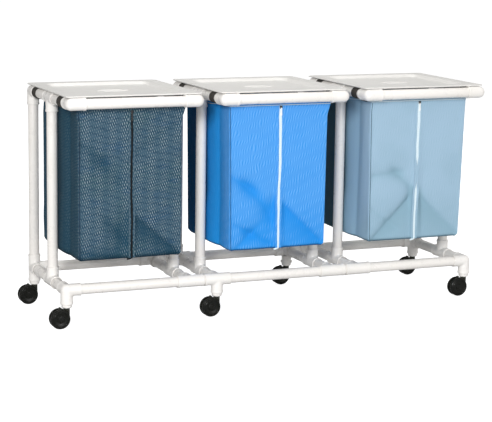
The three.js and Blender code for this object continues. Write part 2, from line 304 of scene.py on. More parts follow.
def rounded(corners, closed=True, steps=4):
    """Points of an outline whose corners, given as (x, y, radius), are rounded off."""
    places = np.array([corner[:2] for corner in corners], float)
    made = []
    for number, (x, y, radius) in enumerate(corners):
        ends = number in (0, len(corners) - 1)
        if radius == 0 or (ends and not closed):
            made.append([x, y])
            continue
        here = places[number]
        before = unit(places[number - 1] - here)
        after = unit(places[(number + 1) % len(corners)] - here)
        half_angle = math.acos(float(np.clip(before @ after, -1, 1))) / 2
        back = radius / math.tan(half_angle)
        for share in np.linspace(0, 1, steps + 1):
            pull_in = back * (1 - share) ** 2 * before + back * share**2 * after
            made.append((here + pull_in).tolist())
    return np.array(made)


def loft(shape, loops, ring=False, slot=0, weave=None, masks=None):
    """Skins loops of equally many points. A ring's last loop meets its first, and other lofts end in fans.
    weave is (distance round, distance along), one more round than a loop has points."""
    loops = np.asarray(loops, float)
    rows, columns = loops.shape[:2]
    grid = np.arange(rows * columns).reshape(rows, columns)
    joined = np.vstack([grid, grid[:1]]) if ring else grid
    joined = np.hstack([joined, joined[:, :1]])
    quads = cells(joined)
    round_about, along = weave or (np.zeros(columns + 1), np.zeros(rows + 1))
    cloth = cells(np.stack(np.meshgrid(round_about, along[: len(joined)]), -1))
    points = loops.reshape(-1, 3)
    masks = np.zeros((len(points), len(MASKS))) if masks is None else np.reshape(masks, (len(points), -1))
    if ring:
        shape.add(points, [quads], slot, [cloth], masks)
        return
    first, last = len(points), len(points) + 1
    points = np.vstack([points, loops[0].mean(0), loops[-1].mean(0)])
    start = np.stack([np.full(columns, first), joined[0, 1:], joined[0, :-1]], -1)
    end = np.stack([np.full(columns, last), joined[-1, :-1], joined[-1, 1:]], -1)
    fan_weave = np.zeros((columns, 3, 2))
    masks = np.vstack([masks, masks[:1], masks[-1:]])
    shape.add(points, [quads, start, end], slot, [cloth, fan_weave, fan_weave], masks)


def cross_axes(axis):
    """Two directions square to an axis and to each other."""
    helper = X if abs(axis[0]) < 0.9 else Y
    across = unit(np.cross(axis, helper))
    return across, np.cross(axis, across)


def lathe(shape, profile, origin, axis, ring=False, sides=ROUND_SIDES, slot=0):
    """Turns (radius, distance along) points about an axis."""
    across, up = cross_axes(axis)
    angles = np.linspace(0, 2 * math.pi, sides, endpoint=False)
    spokes = np.outer(np.cos(angles), across) + np.outer(np.sin(angles), up)
    loops = [np.asarray(origin) + along * axis + radius * spokes for radius, along in profile]
    loft(shape, loops, ring, slot)


def sweep(shape, path, outward, width, thickness, closed=False, slot=0, edge=None, steps=2, weave=False):
    """A flat band along a path: `outward` is each point's direction across the band's thickness."""
    path, outward = np.asarray(path, float), unit(np.asarray(outward, float))
    tangent = unit(np.roll(path, -1, 0) - np.roll(path, 1, 0) if closed else np.gradient(path, axis=0))
    sideways = unit(np.cross(tangent, outward))
    widths = np.broadcast_to(np.asarray(width, float), len(path))
    edge = min(thickness, widths.min()) * 0.45 if edge is None else edge
    loops = []
    for point, side, out, across in zip(path, sideways, outward, widths):
        half, thin = across / 2, thickness / 2
        corners = [(-half, -thin, edge), (half, -thin, edge), (half, thin, edge), (-half, thin, edge)]
        section = rounded(corners, steps=steps)
        loops.append(point + np.outer(section[:, 0], side) + np.outer(section[:, 1], out))
    cloth = (distances(np.vstack([section, section[:1]])), distances(path)) if weave else None
    loft(shape, loops, closed, slot, cloth)


def scatter(shape, template, faces, origins, axes, slot=0):
    """Copies a small closed form to many places: axes holds three unit vectors for each place."""
    template = np.asarray(template, float)
    for origin, frame_axes in zip(origins, axes):
        shape.add(origin + template @ frame_axes, faces, slot)


def surface_net(distance, low, high, cell):
    """A closed mesh of quads on the zero surface of a distance function: one point for each grid cell that
    the surface crosses, evened out and drawn back onto the surface."""
    low = np.asarray(low, float)
    counts = np.ceil((np.asarray(high) - low) / cell).astype(int) + 1
    steps = [low[axis] + cell * np.arange(counts[axis]) for axis in range(3)]
    corners = np.stack(np.meshgrid(*steps, indexing="ij"), -1)
    inside = distance(corners.reshape(-1, 3)).reshape(counts) < 0
    filled = sum(
        inside[i : i + counts[0] - 1, j : j + counts[1] - 1, k : k + counts[2] - 1].astype(int)
        for i, j, k in itertools.product((0, 1), repeat=3)
    )
    crossed = (filled > 0) & (filled < 8)
    number = np.full(crossed.shape, -1)
    number[crossed] = np.arange(crossed.sum())
    points = low + cell * (np.argwhere(crossed) + 0.5)
    quads = []
    for axis in range(3):
        lower = np.take(inside, range(counts[axis] - 1), axis)
        upper = np.take(inside, range(1, counts[axis]), axis)
        for turned, change in ((False, lower & ~upper), (True, upper & ~lower)):
            edges = np.argwhere(change)
            around = []
            for shift_b, shift_c in ((-1, -1), (0, -1), (0, 0), (-1, 0)):
                beside = edges.copy()
                beside[:, (axis + 1) % 3] += shift_b
                beside[:, (axis + 2) % 3] += shift_c
                around.append(number[tuple(beside.T)])
            quad = np.stack(around, -1)
            quads.append(quad[:, ::-1] if turned else quad)
    quads = np.concatenate(quads)
    return relaxed(points, quads, distance), quads


def relaxed(points, quads, distance, rounds=4):
    """Moves points towards the middle of their neighbours, and back onto the surface."""
    edges = np.concatenate([quads[:, [i, (i + 1) % 4]] for i in range(4)])
    edges = np.concatenate([edges, edges[:, ::-1]])
    neighbours = np.bincount(edges[:, 0], minlength=len(points))[:, None]
    for _ in range(rounds):
        total = np.zeros_like(points)
        np.add.at(total, edges[:, 0], points[edges[:, 1]])
        points = drawn_to(distance, (points + total / neighbours) / 2)
    return points


def drawn_to(distance, points, step=0.2):
    """Moves points onto the zero surface of a distance function, along its slope."""
    for _ in range(2):
        rises = [distance(points + step * axis) - distance(points - step * axis) for axis in (X, Y, Z)]
        slope = np.stack(rises, -1) / (2 * step)
        steepness = np.maximum((slope**2).sum(-1), 0.25)
        points = points - slope * (distance(points) / steepness)[:, None]
    return points


# ------------------------------------------------------------------------- materials


class Nodes:
    """Short ways to build a node tree."""

    def __init__(self, tree):
        self.tree = tree

    def node(self, kind, **settings):
        node = self.tree.nodes.new(kind)
        for name, value in settings.items():
            setattr(node, name, value)
        return node

    def fill(self, node, **inputs):
        """Sets a node's inputs to values, or links them to outputs."""
        for name, value in inputs.items():
            self.link(value, node.inputs[name.replace("_", " ")])
        return node

    def link(self, output, target):
        if isinstance(output, bpy.types.NodeSocket):
            self.tree.links.new(output, target)
        else:
            target.default_value = output

    def math(self, operation, *values):
        node = self.node("ShaderNodeMath", operation=operation)
        for value, target in zip(values, node.inputs):
            self.link(value, target)
        return node.outputs[0]

    def split(self, vector):
        return self.fill(self.node("ShaderNodeSeparateXYZ"), Vector=vector).outputs

    def place(self, kind, stretch=None):
        """Texture coordinates, scaled along each axis."""
        place = self.node("ShaderNodeTexCoord").outputs[kind]
        if stretch is None:
            return place
        return self.fill(self.node("ShaderNodeMapping"), Vector=place, Scale=stretch).outputs["Vector"]

    def noise(self, scale, detail=3.0, roughness=0.55, stretch=(1, 1, 1)):
        node = self.node("ShaderNodeTexNoise")
        place = self.place("Object", stretch)
        self.fill(node, Vector=place, Scale=scale, Detail=detail, Roughness=roughness)
        return node.outputs["Fac"]

    def spread(self, value, low, high, to_low=0.0, to_high=1.0, shape="SMOOTHSTEP"):
        node = self.node("ShaderNodeMapRange", interpolation_type=shape)
        self.fill(node, Value=value, From_Min=low, From_Max=high, To_Min=to_low, To_Max=to_high)
        return node.outputs["Result"]

    def seen_or_given(self, seen, given):
        """A strength with one value for what is looked at and another for what lights the cart."""
        path = self.node("ShaderNodeLightPath").outputs["Is Camera Ray"]
        return self.spread(path, 0, 1, given, seen, "LINEAR")


class Finish(Nodes):
    """A node material around one Principled shader."""

    def __init__(self, name, colour, roughness, **inputs):
        self.material = bpy.data.materials.new(name)
        self.material.use_nodes = True
        super().__init__(self.material.node_tree)
        self.shader = self.tree.nodes["Principled BSDF"]
        self.fill(self.shader, Base_Color=(*colour, 1), Roughness=roughness, **inputs)
        self.colour = (*colour, 1)

    def tint(self, share, colour):
        """Mixes a colour into what the shader's base colour is so far."""
        node = self.node("ShaderNodeMix", data_type="RGBA")
        self.fill(node, Factor=share, A=self.colour, B=(*colour, 1))
        self.colour = node.outputs["Result"]
        self.fill(self.shader, Base_Color=self.colour)

    def patch(self, value, low, high, most, colour):
        """Tints where a value is past `low`, and by the share `most` where it is past `high`."""
        self.tint(self.spread(value, low, high, 0, most), colour)

    def mask(self, name):
        return self.node("ShaderNodeAttribute", attribute_name=name).outputs["Fac"]

    def mask_tint(self, name, most, colour):
        self.tint(self.math("MULTIPLY", self.mask(name), most), colour)

    def rough(self, value, low, high, least, most):
        self.fill(self.shader, Roughness=self.spread(value, low, high, least, most))

    def bump(self, height, distance, strength=1.0):
        node = self.node("ShaderNodeBump")
        self.fill(node, Height=height, Distance=distance * MM, Strength=strength)
        for earlier in self.shader.inputs["Normal"].links:
            self.link(earlier.from_socket, node.inputs["Normal"])
        self.fill(self.shader, Normal=node.outputs["Normal"])

    def wave(self, axis, pitch, lean=0.0, wobble=0.0, stagger=0.0):
        """A wave across ("X") or up ("Y") the cloth. `lean` slants its lines, a slow noise pushes them about
        by up to `wobble`, and every second column of width `stagger` is half a pitch higher."""
        x, y, _ = self.split(self.node("ShaderNodeUVMap", uv_map="weave").outputs["UV"])
        along, other = (x, y) if axis == "X" else (y, x)
        along = self.math("MULTIPLY_ADD", other, lean, along)
        if wobble:
            along = self.math("MULTIPLY_ADD", self.noise(16.0, 2.0), wobble * MM, along)
        turns = self.math("MULTIPLY", along, 2 * math.pi / (pitch * MM))
        if stagger:
            column = self.math("FLOOR", self.math("MULTIPLY", x, 1 / (stagger * MM)))
            turns = self.math("MULTIPLY_ADD", self.math("MODULO", column, 2.0), math.pi, turns)
        return self.math("COSINE", turns)

    def checks(self, across, up, skew=0.0, slope=0.0, wobble=0.0, stagger=False):
        """The product of a wave across the cloth and one up it."""
        columns = self.wave("X", across, skew, wobble)
        return self.math("MULTIPLY", columns, self.wave("Y", up, slope, 2 * wobble, across if stagger else 0))


def scaled(colour, *shares):
    """A colour with each channel scaled."""
    return tuple(value * share for value, share in zip(colour, shares))


def white_plastic(name, colour, grain_scale, grain_depth):
    """Glossy white PVC: a faint orange peel, slow shade changes, and dust that dulls it in patches."""
    finish = Finish(name, colour, 0.3, Specular_IOR_Level=0.5, Coat_Weight=0.15, Coat_Roughness=0.2)
    finish.patch(finish.noise(4.0, 4.0), 0.45, 0.75, 0.35, scaled(colour, 0.93, 0.92, 0.88))
    dust = finish.noise(26.0, 6.0, 0.65)
    finish.patch(dust, 0.58, 0.8, 0.25, (0.60, 0.57, 0.50))
    finish.rough(dust, 0.35, 0.75, 0.26, 0.46)
    finish.bump(finish.noise(grain_scale, 2.0), grain_depth, 0.5)
    return finish.material


def lid_plastic():
    """Pebble-grained moulded sheet with fine rubbed scratches."""
    finish = Finish("lid_plastic", (0.72, 0.707, 0.68), 0.42, Specular_IOR_Level=0.35)
    finish.patch(finish.noise(5.0, 5.0), 0.42, 0.78, 0.4, (0.645, 0.635, 0.605))
    rubs = finish.noise(9.0, 5.0, 0.7, stretch=(1, 14, 1))
    finish.patch(rubs, 0.62, 0.74, 0.25, (0.595, 0.585, 0.565))
    finish.rough(rubs, 0.35, 0.72, 0.36, 0.56)
    cells = finish.node("ShaderNodeTexVoronoi", feature="SMOOTH_F1")
    finish.fill(cells, Vector=finish.place("Object", (1, 1, 1)), Scale=520)
    finish.bump(cells.outputs["Distance"], 0.25, 0.5)
    finish.bump(finish.noise(60.0, 4.0), 0.15, 0.3)
    return finish.material


def mesh_cloth():
    """Vinyl-coated open mesh: staggered upright holes that catch the light, stronger in some columns and
    rows, and slow changes between blue and green."""
    finish = Finish("mesh_cloth_navy", (0.050, 0.098, 0.140), 0.6, Specular_IOR_Level=0.03)
    holes = finish.checks(9.6, 24, skew=-0.12, slope=0.25, wobble=9)
    bands = finish.wave("X", 56, wobble=20)
    rows = finish.wave("Y", 26, -0.2, 40)
    patches = finish.spread(finish.noise(14.0, 3.0), 0.3, 0.7, 0.55, 1.0)
    strength = finish.math("MULTIPLY", finish.math("MULTIPLY_ADD", bands, 0.22, 0.78), patches)
    dashes = finish.math("MULTIPLY", holes, strength)
    finish.patch(finish.noise(7.0, 4.0), 0.42, 0.7, 0.6, (0.034, 0.082, 0.098))
    finish.patch(finish.noise(11.0, 4.0, stretch=(1, 1, 2.2)), 0.5, 0.72, 0.6, (0.022, 0.068, 0.135))
    finish.patch(rows, 0.1, 1.0, 0.55, (0.014, 0.046, 0.085))
    finish.patch(dashes, 0.1, 0.75, 0.95, (0.27, 0.34, 0.38))
    finish.patch(dashes, -0.1, -0.75, 0.8, (0.006, 0.026, 0.050))
    # Painted shade in the folds.
    finish.patch(finish.mask("painted_crease_shade"), 0.1, 1.0, 0.7, (0.008, 0.044, 0.078))
    # Painted shade on the side panels.
    finish.mask_tint("side", 0.72, (0.012, 0.052, 0.085))
    # Painted shade between the hampers and under the bags.
    finish.mask_tint("painted_deep_shade", 0.85, (0.004, 0.022, 0.034))
    finish.bump(holes, 0.4, 0.5)
    finish.bump(finish.checks(2.1, 2.1), 0.25, 0.5)
    return finish.material


def woven_cloth(name, colour, dark_tone_and_painted_shade, light, side, painted_deep_shade, streak):
    """Coated nylon in a plain weave, with slow changes of tone and short leaning streaks. Painted shade makes
    it darker towards the bottom and in the folds, deeper on the side panels, and deepest between the hampers
    and under them."""
    finish = Finish(name, colour, 0.55, Specular_IOR_Level=0.03)
    finish.patch(finish.noise(6.0, 4.0), 0.42, 0.75, 0.25, dark_tone_and_painted_shade)
    _, _, height = finish.split(finish.place("Object", (1, 1, 1)))
    # Painted shade: the cloth grows darker towards the bottom.
    finish.patch(height, 0.55, 0.25, 0.5, dark_tone_and_painted_shade)
    lines = finish.wave("X", 11.5, 0.16, 26)
    rows = finish.wave("Y", 44, 0.4, 44)
    strength = finish.math("MULTIPLY_ADD", rows, 0.35, 0.65)
    streaks = finish.math("MULTIPLY", finish.math("MULTIPLY", lines, strength), finish.noise(30.0, 3.0))
    finish.patch(streaks, 0.05, 0.5, 0.8 * streak, light)
    finish.patch(streaks, -0.05, -0.5, 0.6 * streak, dark_tone_and_painted_shade)
    weave = finish.checks(3.8, 3.0, stagger=True)
    finish.patch(weave, 0.1, 0.9, 0.22, light)
    finish.patch(weave, -0.1, -0.9, 0.18, dark_tone_and_painted_shade)
    finish.bump(weave, 0.18, 0.5)
    finish.bump(finish.checks(0.95, 0.95), 0.15, 0.5)
    # Painted shade in the folds.
    finish.patch(finish.mask("painted_crease_shade"), 0.1, 1.0, 0.8, dark_tone_and_painted_shade)
    # Painted shade on the side panels.
    finish.mask_tint("side", 0.85, side)
    # Painted shade between the hampers and under the bags.
    finish.mask_tint("painted_deep_shade", 0.9, painted_deep_shade)
    finish.rough(finish.noise(40.0, 3.0), 0.3, 0.7, 0.5, 0.65)
    return finish.material


def webbing_cloth():
    """Ribbed charcoal strap."""
    finish = Finish("webbing_charcoal", (0.062, 0.057, 0.052), 0.8, Specular_IOR_Level=0.1)
    ribs = finish.checks(2.4, 2.0, stagger=True)
    finish.patch(ribs, -0.2, 0.9, 0.5, (0.09, 0.083, 0.076))
    finish.patch(finish.noise(30.0, 4.0), 0.5, 0.8, 0.4, (0.12, 0.11, 0.10))
    finish.bump(ribs, 0.4, 0.8)
    return finish.material


def plain_thread(name, colour, fuzz=0.15):
    """Tape, piping and sewing thread: twisted strands with a little fuzz."""
    finish = Finish(name, colour, 0.7, Sheen_Weight=fuzz, Specular_IOR_Level=0.2)
    finish.patch(finish.noise(900.0, 2.0), 0.4, 0.7, 0.6, scaled(colour, 0.62, 0.62, 0.62))
    finish.bump(finish.noise(1500.0, 2.0), 0.1, 0.6)
    return finish.material


def black_nylon(name, colour):
    """Moulded black nylon, scuffed paler where it rubs."""
    finish = Finish(name, colour, 0.3, Specular_IOR_Level=0.3)
    scuffs = finish.noise(55.0, 6.0, 0.7)
    finish.patch(scuffs, 0.58, 0.8, 0.4, (0.022, 0.021, 0.019))
    finish.rough(scuffs, 0.35, 0.75, 0.2, 0.38)
    finish.bump(finish.noise(700.0, 2.0), 0.08, 0.5)
    return finish.material


def bright_metal(name, colour, roughness):
    """Metal with drawn marks that darken and dull it."""
    finish = Finish(name, colour, roughness, Metallic=1.0)
    marks = finish.noise(220.0, 4.0, 0.7, stretch=(1, 1, 0.2))
    finish.patch(marks, 0.45, 0.8, 0.5, scaled(colour, 0.6, 0.6, 0.6))
    finish.rough(marks, 0.3, 0.7, roughness * 0.8, roughness * 1.5)
    finish.bump(marks, 0.05, 0.4)
    return finish.material


def plain_enamel():
    """White enamel on the pale zippers' pulls, worn a little at its edges."""
    finish = Finish("enamel_white", (0.86, 0.88, 0.88), 0.35)
    wear = finish.noise(300.0, 4.0, 0.7)
    finish.patch(wear, 0.62, 0.8, 0.6, (0.45, 0.45, 0.44))
    finish.bump(wear, 0.04, 0.4)
    return finish.material


PIPE_WHITE = white_plastic("pvc_pipe", (0.83, 0.80, 0.765), 350, 0.08)
FITTING_WHITE = white_plastic("pvc_fitting", (0.835, 0.81, 0.78), 500, 0.12)
LID_WHITE = lid_plastic()
# The fork's black is paler than the wheels': in part worn nylon, in part painted light for the hood's top,
# which faces the lamps.
HOOD_NYLON = black_nylon("nylon_hood", (0.024, 0.0245, 0.019))
WHEEL_NYLON = black_nylon("nylon_wheel", (0.0038, 0.0042, 0.0026))
STEEL = bright_metal("zinc_steel", (0.56, 0.56, 0.55), 0.32)
GUNMETAL = bright_metal("gunmetal", (0.05, 0.05, 0.053), 0.34)
PULL_ENAMEL = plain_enamel()
WEBBING = webbing_cloth()
STRAP_THREAD = plain_thread("thread_dark", (0.03, 0.035, 0.045))
PALE_TAPE = plain_thread("tape_pale", (0.74, 0.86, 0.91), 0.0)

# What each bag is made of, from left to right
CLOTH_SLOTS = {"left": "fabric_navy_mesh", "middle": "fabric_blue", "right": "fabric_light_blue"}
# In each woven cloth, side is painted shade for the side panels, and the colour after it is painted shade
# between and under the hampers.
CLOTHS = {
    "left": mesh_cloth(),
    "middle": woven_cloth(
        "nylon_blue",
        colour=(0.085, 0.33, 0.77),
        dark_tone_and_painted_shade=(0.012, 0.25, 0.72),
        light=(0.16, 0.42, 0.84),
        side=(0.012, 0.28, 0.74),
        painted_deep_shade=(0.002, 0.055, 0.15),
        streak=1.0,
    ),
    "right": woven_cloth(
        "nylon_light_blue",
        colour=(0.335, 0.485, 0.615),
        dark_tone_and_painted_shade=(0.235, 0.385, 0.475),
        light=(0.40, 0.54, 0.67),
        side=(0.25, 0.40, 0.52),
        painted_deep_shade=(0.03, 0.085, 0.115),
        streak=0.3,
    ),
}
ZIPPER_TAPES = {
    "left": plain_thread("tape_black", (0.006, 0.008, 0.011), 0.0),
    "middle": PALE_TAPE,
    "right": PALE_TAPE,
}
SEWING_THREADS = {
    "left": plain_thread("thread_grey", (0.22, 0.29, 0.33)),
    "middle": plain_thread("thread_blue", (0.16, 0.40, 0.74)),
    "right": plain_thread("thread_light_blue", (0.42, 0.56, 0.65)),
}
# Seam threads far darker than their cloth: in part the thread's own colour, in part painted shade for the gap
# along each seam.
SEAM_THREADS_AND_SHADE = {
    "left": plain_thread("seam_navy", (0.006, 0.02, 0.045), 0.0),
    "middle": plain_thread("seam_blue", (0.008, 0.07, 0.20), 0.0),
    "right": plain_thread("seam_light_blue", (0.07, 0.14, 0.19), 0.0),
}

# ------------------------------------------------------------------------- pipe and fittings


def pipe(shape, start, end):
    """A length of open pipe between two points."""
    span = np.asarray(end) - np.asarray(start)
    length = float(np.linalg.norm(span))
    edge = 0.8
    profile = rounded([(PIPE_R, 0, edge), (PIPE_R, length, edge), (BORE_R, length, edge), (BORE_R, 0, edge)])
    lathe(shape, profile, start, span / length, ring=True)


def fitting_distance(directions):
    """Distance to a fitting about the origin: a barrel for each straight run or branch, a ball where they
    meet, and a fillet in each inside corner."""
    depth = REACH - 3
    through = [any(np.allclose(axis, -other) for other in directions) for axis in directions]
    runs = [(axis, -depth) for axis, straight in zip(directions, through) if straight][:1]
    barrels = runs + [(axis, 0.0) for axis, straight in zip(directions, through) if not straight]

    def distance(points):
        sides, outward = [], []
        for axis, start in barrels:
            along = points @ axis
            off = points - along[:, None] * axis
            radius = np.linalg.norm(off, axis=1)
            sides.append(np.maximum(radius - BARREL_R, np.maximum(start - along, along - depth)))
            outward.append(off / np.maximum(radius, 1e-9)[:, None])
        near = np.linalg.norm(points, axis=1) - BARREL_R
        for one, other in itertools.combinations(range(len(barrels)), 2):
            apart = 1 - np.einsum("ij,ij->i", outward[one], outward[other])
            reach = FILLET * np.clip(apart, 1e-3, 1)
            overlap = np.maximum(reach - np.abs(sides[one] - sides[other]), 0) / reach
            near = np.minimum(near, np.minimum(sides[one], sides[other]) - overlap**2 * reach / 4)
        return near

    return distance


@functools.cache
def fitting_mesh(directions):
    """Points and faces of a fitting about the origin."""
    axes = [np.array(direction) for direction in directions]
    tips = REACH * np.array(axes)
    margin = BARREL_R + FILLET
    low = np.minimum(tips.min(0), 0) - margin
    high = np.maximum(tips.max(0), 0) + margin
    return surface_net(fitting_distance(axes), low, high, NET_CELL)


def bead_section():
    """Section of the bead round a socket's mouth: (radius, distance from the fitting's centre)."""
    mouth = PIPE_R + SOCKET_GAP
    corners = [
        (FITTING_R, REACH - BEAD, 1.2),
        (FITTING_R, REACH, 1.5),
        (mouth + 1, REACH, 0),
        (mouth, REACH - 1.2, 0),
        (mouth, REACH - BEAD + 1, 0),
    ]
    return rounded(corners)


def fitting(shape, centre, *directions):
    """A slip fitting with a beaded socket in each direction."""
    points, quads = fitting_mesh(tuple(tuple(axis) for axis in directions))
    shape.add(points + centre, [quads])
    for axis in directions:
        lathe(shape, bead_section(), centre, axis, ring=True)


def pipe_between(shape, start, end):
    """The pipe that joins two fittings' sockets."""
    start, end = np.asarray(start), np.asarray(end)
    direction = unit(end - start)
    pipe(shape, start + PIPE_START * direction, end - PIPE_START * direction)


def white_pieces(name, node, pipes, fittings):
    """A CAD node's loose lengths of pipe, and its fittings, as two pieces."""
    lengths = Shape()
    for start, end in pipes:
        pipe_between(lengths, start, end)
    make_piece(f"{name}_pipe", lengths, "frame", [PIPE_WHITE], "pipe_white", [node])
    if fittings:
        sockets = Shape()
        for centre, directions in fittings:
            fitting(sockets, centre, *directions)
        make_piece(f"{name}_fittings", sockets, "frame", [FITTING_WHITE], "pipe_white")


def has_leg(x, y):
    return any(abs(leg.x - x) < 1 and abs(leg.y - y) < 1 for leg in LEG_AT.values())


def base_rail(name, node, y, inner_branches):
    """A long rail with a fitting at every cross member, and an outlet down where there is a leg."""
    centres = [np.array([x, y, BASE_Z]) for x in PLANES]
    fittings = []
    for number, centre in enumerate(centres):
        along = [X, -X][number == len(centres) - 1 : 1 if number == 0 else 2]
        legs = [-Z] if has_leg(centre[0], y) else []
        fittings.append((centre, along + inner_branches + legs))
    white_pieces(name, node, list(zip(centres[:-1], centres[1:])), fittings)


def base_pieces():
    base_rail("front_rail", "base_front_rail", FRONT_Y, [Y])
    base_rail("rear_rail", "base_rear_rail", REAR_Y, [-Y, Z])
    for number, x in enumerate(PLANES, 1):
        front = np.array([x, FRONT_Y, BASE_Z])
        tee = np.array([x, UPRIGHT_Y, BASE_Z])
        rear = np.array([x, REAR_Y, BASE_Z])
        white_pieces(
            f"cross_rail_{number}", f"cross_member_{number}", [(front, tee), (tee, rear)], [(tee, [Y, -Y, Z])]
        )
        for side, foot in (("front", tee), ("rear", rear)):
            top = np.array([x, foot[1], TOP_Z])
            white_pieces(f"{side}_post_{number}", f"{side}_upright_{number}", [(foot, top)], [])


def top_pieces():
    for index, x in enumerate(PLANES):
        inward = X if index % 2 == 0 else -X
        front = np.array([x, FRONT_TUBE_Y, TOP_Z])
        tee = np.array([x, UPRIGHT_Y, TOP_Z])
        rear = np.array([x, REAR_Y, TOP_Z])
        white_pieces(
            f"top_side_{index + 1}",
            f"side_tube_{index + 1}",
            [(front, tee), (tee, rear)],
            [(front, [Y, inward]), (tee, [Y, -Y, -Z]), (rear, [-Y, inward, -Z])],
        )
    for index, place in enumerate(PLACES):
        left, right = PLANES[2 * index], PLANES[2 * index + 1]
        for side, y in (("front", FRONT_TUBE_Y), ("rear", REAR_Y)):
            ends = (np.array([left, y, TOP_Z]), np.array([right, y, TOP_Z]))
            white_pieces(f"top_{side}_{place}", f"{side}_tube_{place}", [ends], [])


def leg_section():
    """Section of a leg: a stub of pipe closed by the insert that grips the caster's stem."""
    groove_r, mouth_z = PIPE_R - 0.7, BASE_Z - REACH
    corners = [
        (PIPE_R, BASE_Z - PIPE_START, 0.5),
        (PIPE_R, mouth_z - 3, 0.5),
        (groove_r, mouth_z - 3.6, 0.3),
        (groove_r, mouth_z - 4.8, 0.3),
        (PIPE_R, mouth_z - 5.4, 0.5),
        (PIPE_R - 0.4, LEG_BOTTOM_Z + 4, 2),
        (PIPE_R - 3, LEG_BOTTOM_Z, 1),
        (STEM_R + 0.8, LEG_BOTTOM_Z, 0.5),
        (STEM_R + 0.8, BASE_Z - PIPE_START, 0.5),
    ]
    return rounded(corners)


def leg_pieces():
    for place, leg in LEG_AT.items():
        shape = Shape()
        lathe(shape, leg_section(), (leg.x, leg.y, 0), Z, ring=True)
        make_piece(f"leg_insert_{place}", shape, "frame", [FITTING_WHITE], "pipe_white", [f"leg_{place}"])


# ------------------------------------------------------------------------- casters


def wheel_profile():
    """Section of one wheel from its middle plane side out: (radius, distance from the cart's side)."""
    return rounded(
        [
            (3, WHEEL_INNER, 0),
            (14, WHEEL_INNER, 0.5),
            (15, WHEEL_INNER + 1.5, 0.5),
            (WHEEL_R - 8, WHEEL_INNER + 1.5, 0.5),
            (WHEEL_R - 7, WHEEL_INNER, 0.5),
            (WHEEL_R - 1.5, WHEEL_INNER, 1),
            (WHEEL_R, WHEEL_INNER + 2, 1.5),
            (WHEEL_R, WHEEL_OUTER - 4.5, 3),
            (WHEEL_R - 4, WHEEL_OUTER - 0.6, 1.5),
            (WHEEL_R - 9, WHEEL_OUTER - 0.6, 0.6),
            (WHEEL_R - 9.8, WHEEL_OUTER - 2, 0.4),
            (WHEEL_R - 11, WHEEL_OUTER - 2, 0.4),
            (WHEEL_R - 12, WHEEL_OUTER - 1.2, 0.6),
            (17, WHEEL_OUTER - 3.2, 2),
            (13, WHEEL_OUTER - 3.2, 0.6),
            (12, WHEEL_OUTER - 0.4, 1),
            (7, WHEEL_OUTER, 2),
            (0.4, WHEEL_OUTER - 0.2, 0),
        ],
        closed=False,
    )


def wheel_pieces():
    for place, centre in WHEEL_AT.items():
        shape = Shape()
        for side in (-1, 1):
            lathe(shape, wheel_profile(), centre, side * Y, sides=72)
        axle_half = WHEEL_OUTER - 3
        lathe(shape, [(AXLE_R, -axle_half), (AXLE_R, axle_half)], centre, Y, sides=24, slot=1)
        name, materials = f"twin_wheels_{place}", [WHEEL_NYLON, STEEL]
        make_piece(name, shape, f"wheels_{place}", materials, "caster_black", [f"caster_wheels_{place}"])


def fork_distance(points):
    """Distance to a fork about its swivel axis: a disc between the wheels, a neck, a hood that joins them and
    a lug behind the neck, with room cut for the wheels."""
    x, y, z = points.T
    from_axle = np.hypot(x + WHEEL_TRAIL, z - WHEEL_R)
    thick = np.abs(y) - WEB_HALF
    web = np.maximum(from_axle - (WHEEL_R - 5), thick)
    neck = np.maximum(np.hypot(x, y) - NECK_R, np.maximum(NECK_FOOT_Z - z, z - NECK_TOP_Z))
    ends = np.maximum(x - HOOD_FRONT_X, -WHEEL_TRAIL - x)
    roof = z - (NECK_TOP_Z - 4) - HOOD_SLOPE * np.minimum(x + NECK_R - 0.5, 0)
    hood = np.maximum(np.maximum(ends, roof), np.maximum(HOOD_FOOT_Z - z, thick))
    lug = np.maximum(np.hypot(x - LUG_X, z - np.clip(z, *LUG_Z)) - LUG_R, thick)
    near = np.minimum(np.minimum(web, hood), lug)
    overlap = np.maximum(FORK_FILLET - np.abs(near - neck), 0) / FORK_FILLET
    body = np.minimum(near, neck) - overlap**2 * FORK_FILLET / 4
    room = np.maximum(from_axle - (WHEEL_R + WHEEL_ROOM), -thick)
    return np.maximum(body, -room)


def fork_collar():
    """Section of the steel washer on the fork's neck: (radius, height above the neck)."""
    inside = NECK_R - 3
    return rounded([(inside, -2, 0), (inside, 0.7, 0.4), (STEM_R, 0.7, 0)], closed=False)


def caster_stem():
    """Section of the stem that the leg's insert grips, with a groove for its ring."""
    corners = [
        (STEM_R, 0, 0),
        (STEM_R, 24, 0.3),
        (STEM_R - 1, 25, 0.3),
        (STEM_R - 1, 28, 0.3),
        (STEM_R, 29, 0.3),
        (STEM_R - 0.8, 34, 0.5),
        (0.5, 34, 0),
    ]
    return rounded(corners, closed=False)


def fork_pieces():
    low = (-WHEEL_TRAIL - WHEEL_R, -NECK_R - 3, 0)
    high = (NECK_R + 4, NECK_R + 3, NECK_TOP_Z + 4)
    points, quads = surface_net(fork_distance, low, high, FORK_CELL)
    for place, leg in LEG_AT.items():
        shape = Shape()
        origin = np.array([leg.x, leg.y, 0])
        shape.add(points + origin, [quads])
        top = origin + NECK_TOP_Z * Z
        lathe(shape, fork_collar(), top, Z, slot=1, sides=40)
        lathe(shape, caster_stem(), top, Z, slot=1, sides=32)
        name, materials = f"fork_moulding_{place}", [HOOD_NYLON, STEEL]
        make_piece(name, shape, f"caster_{place}", materials, "caster_black", [f"caster_fork_{place}"])


# ------------------------------------------------------------------------- lids


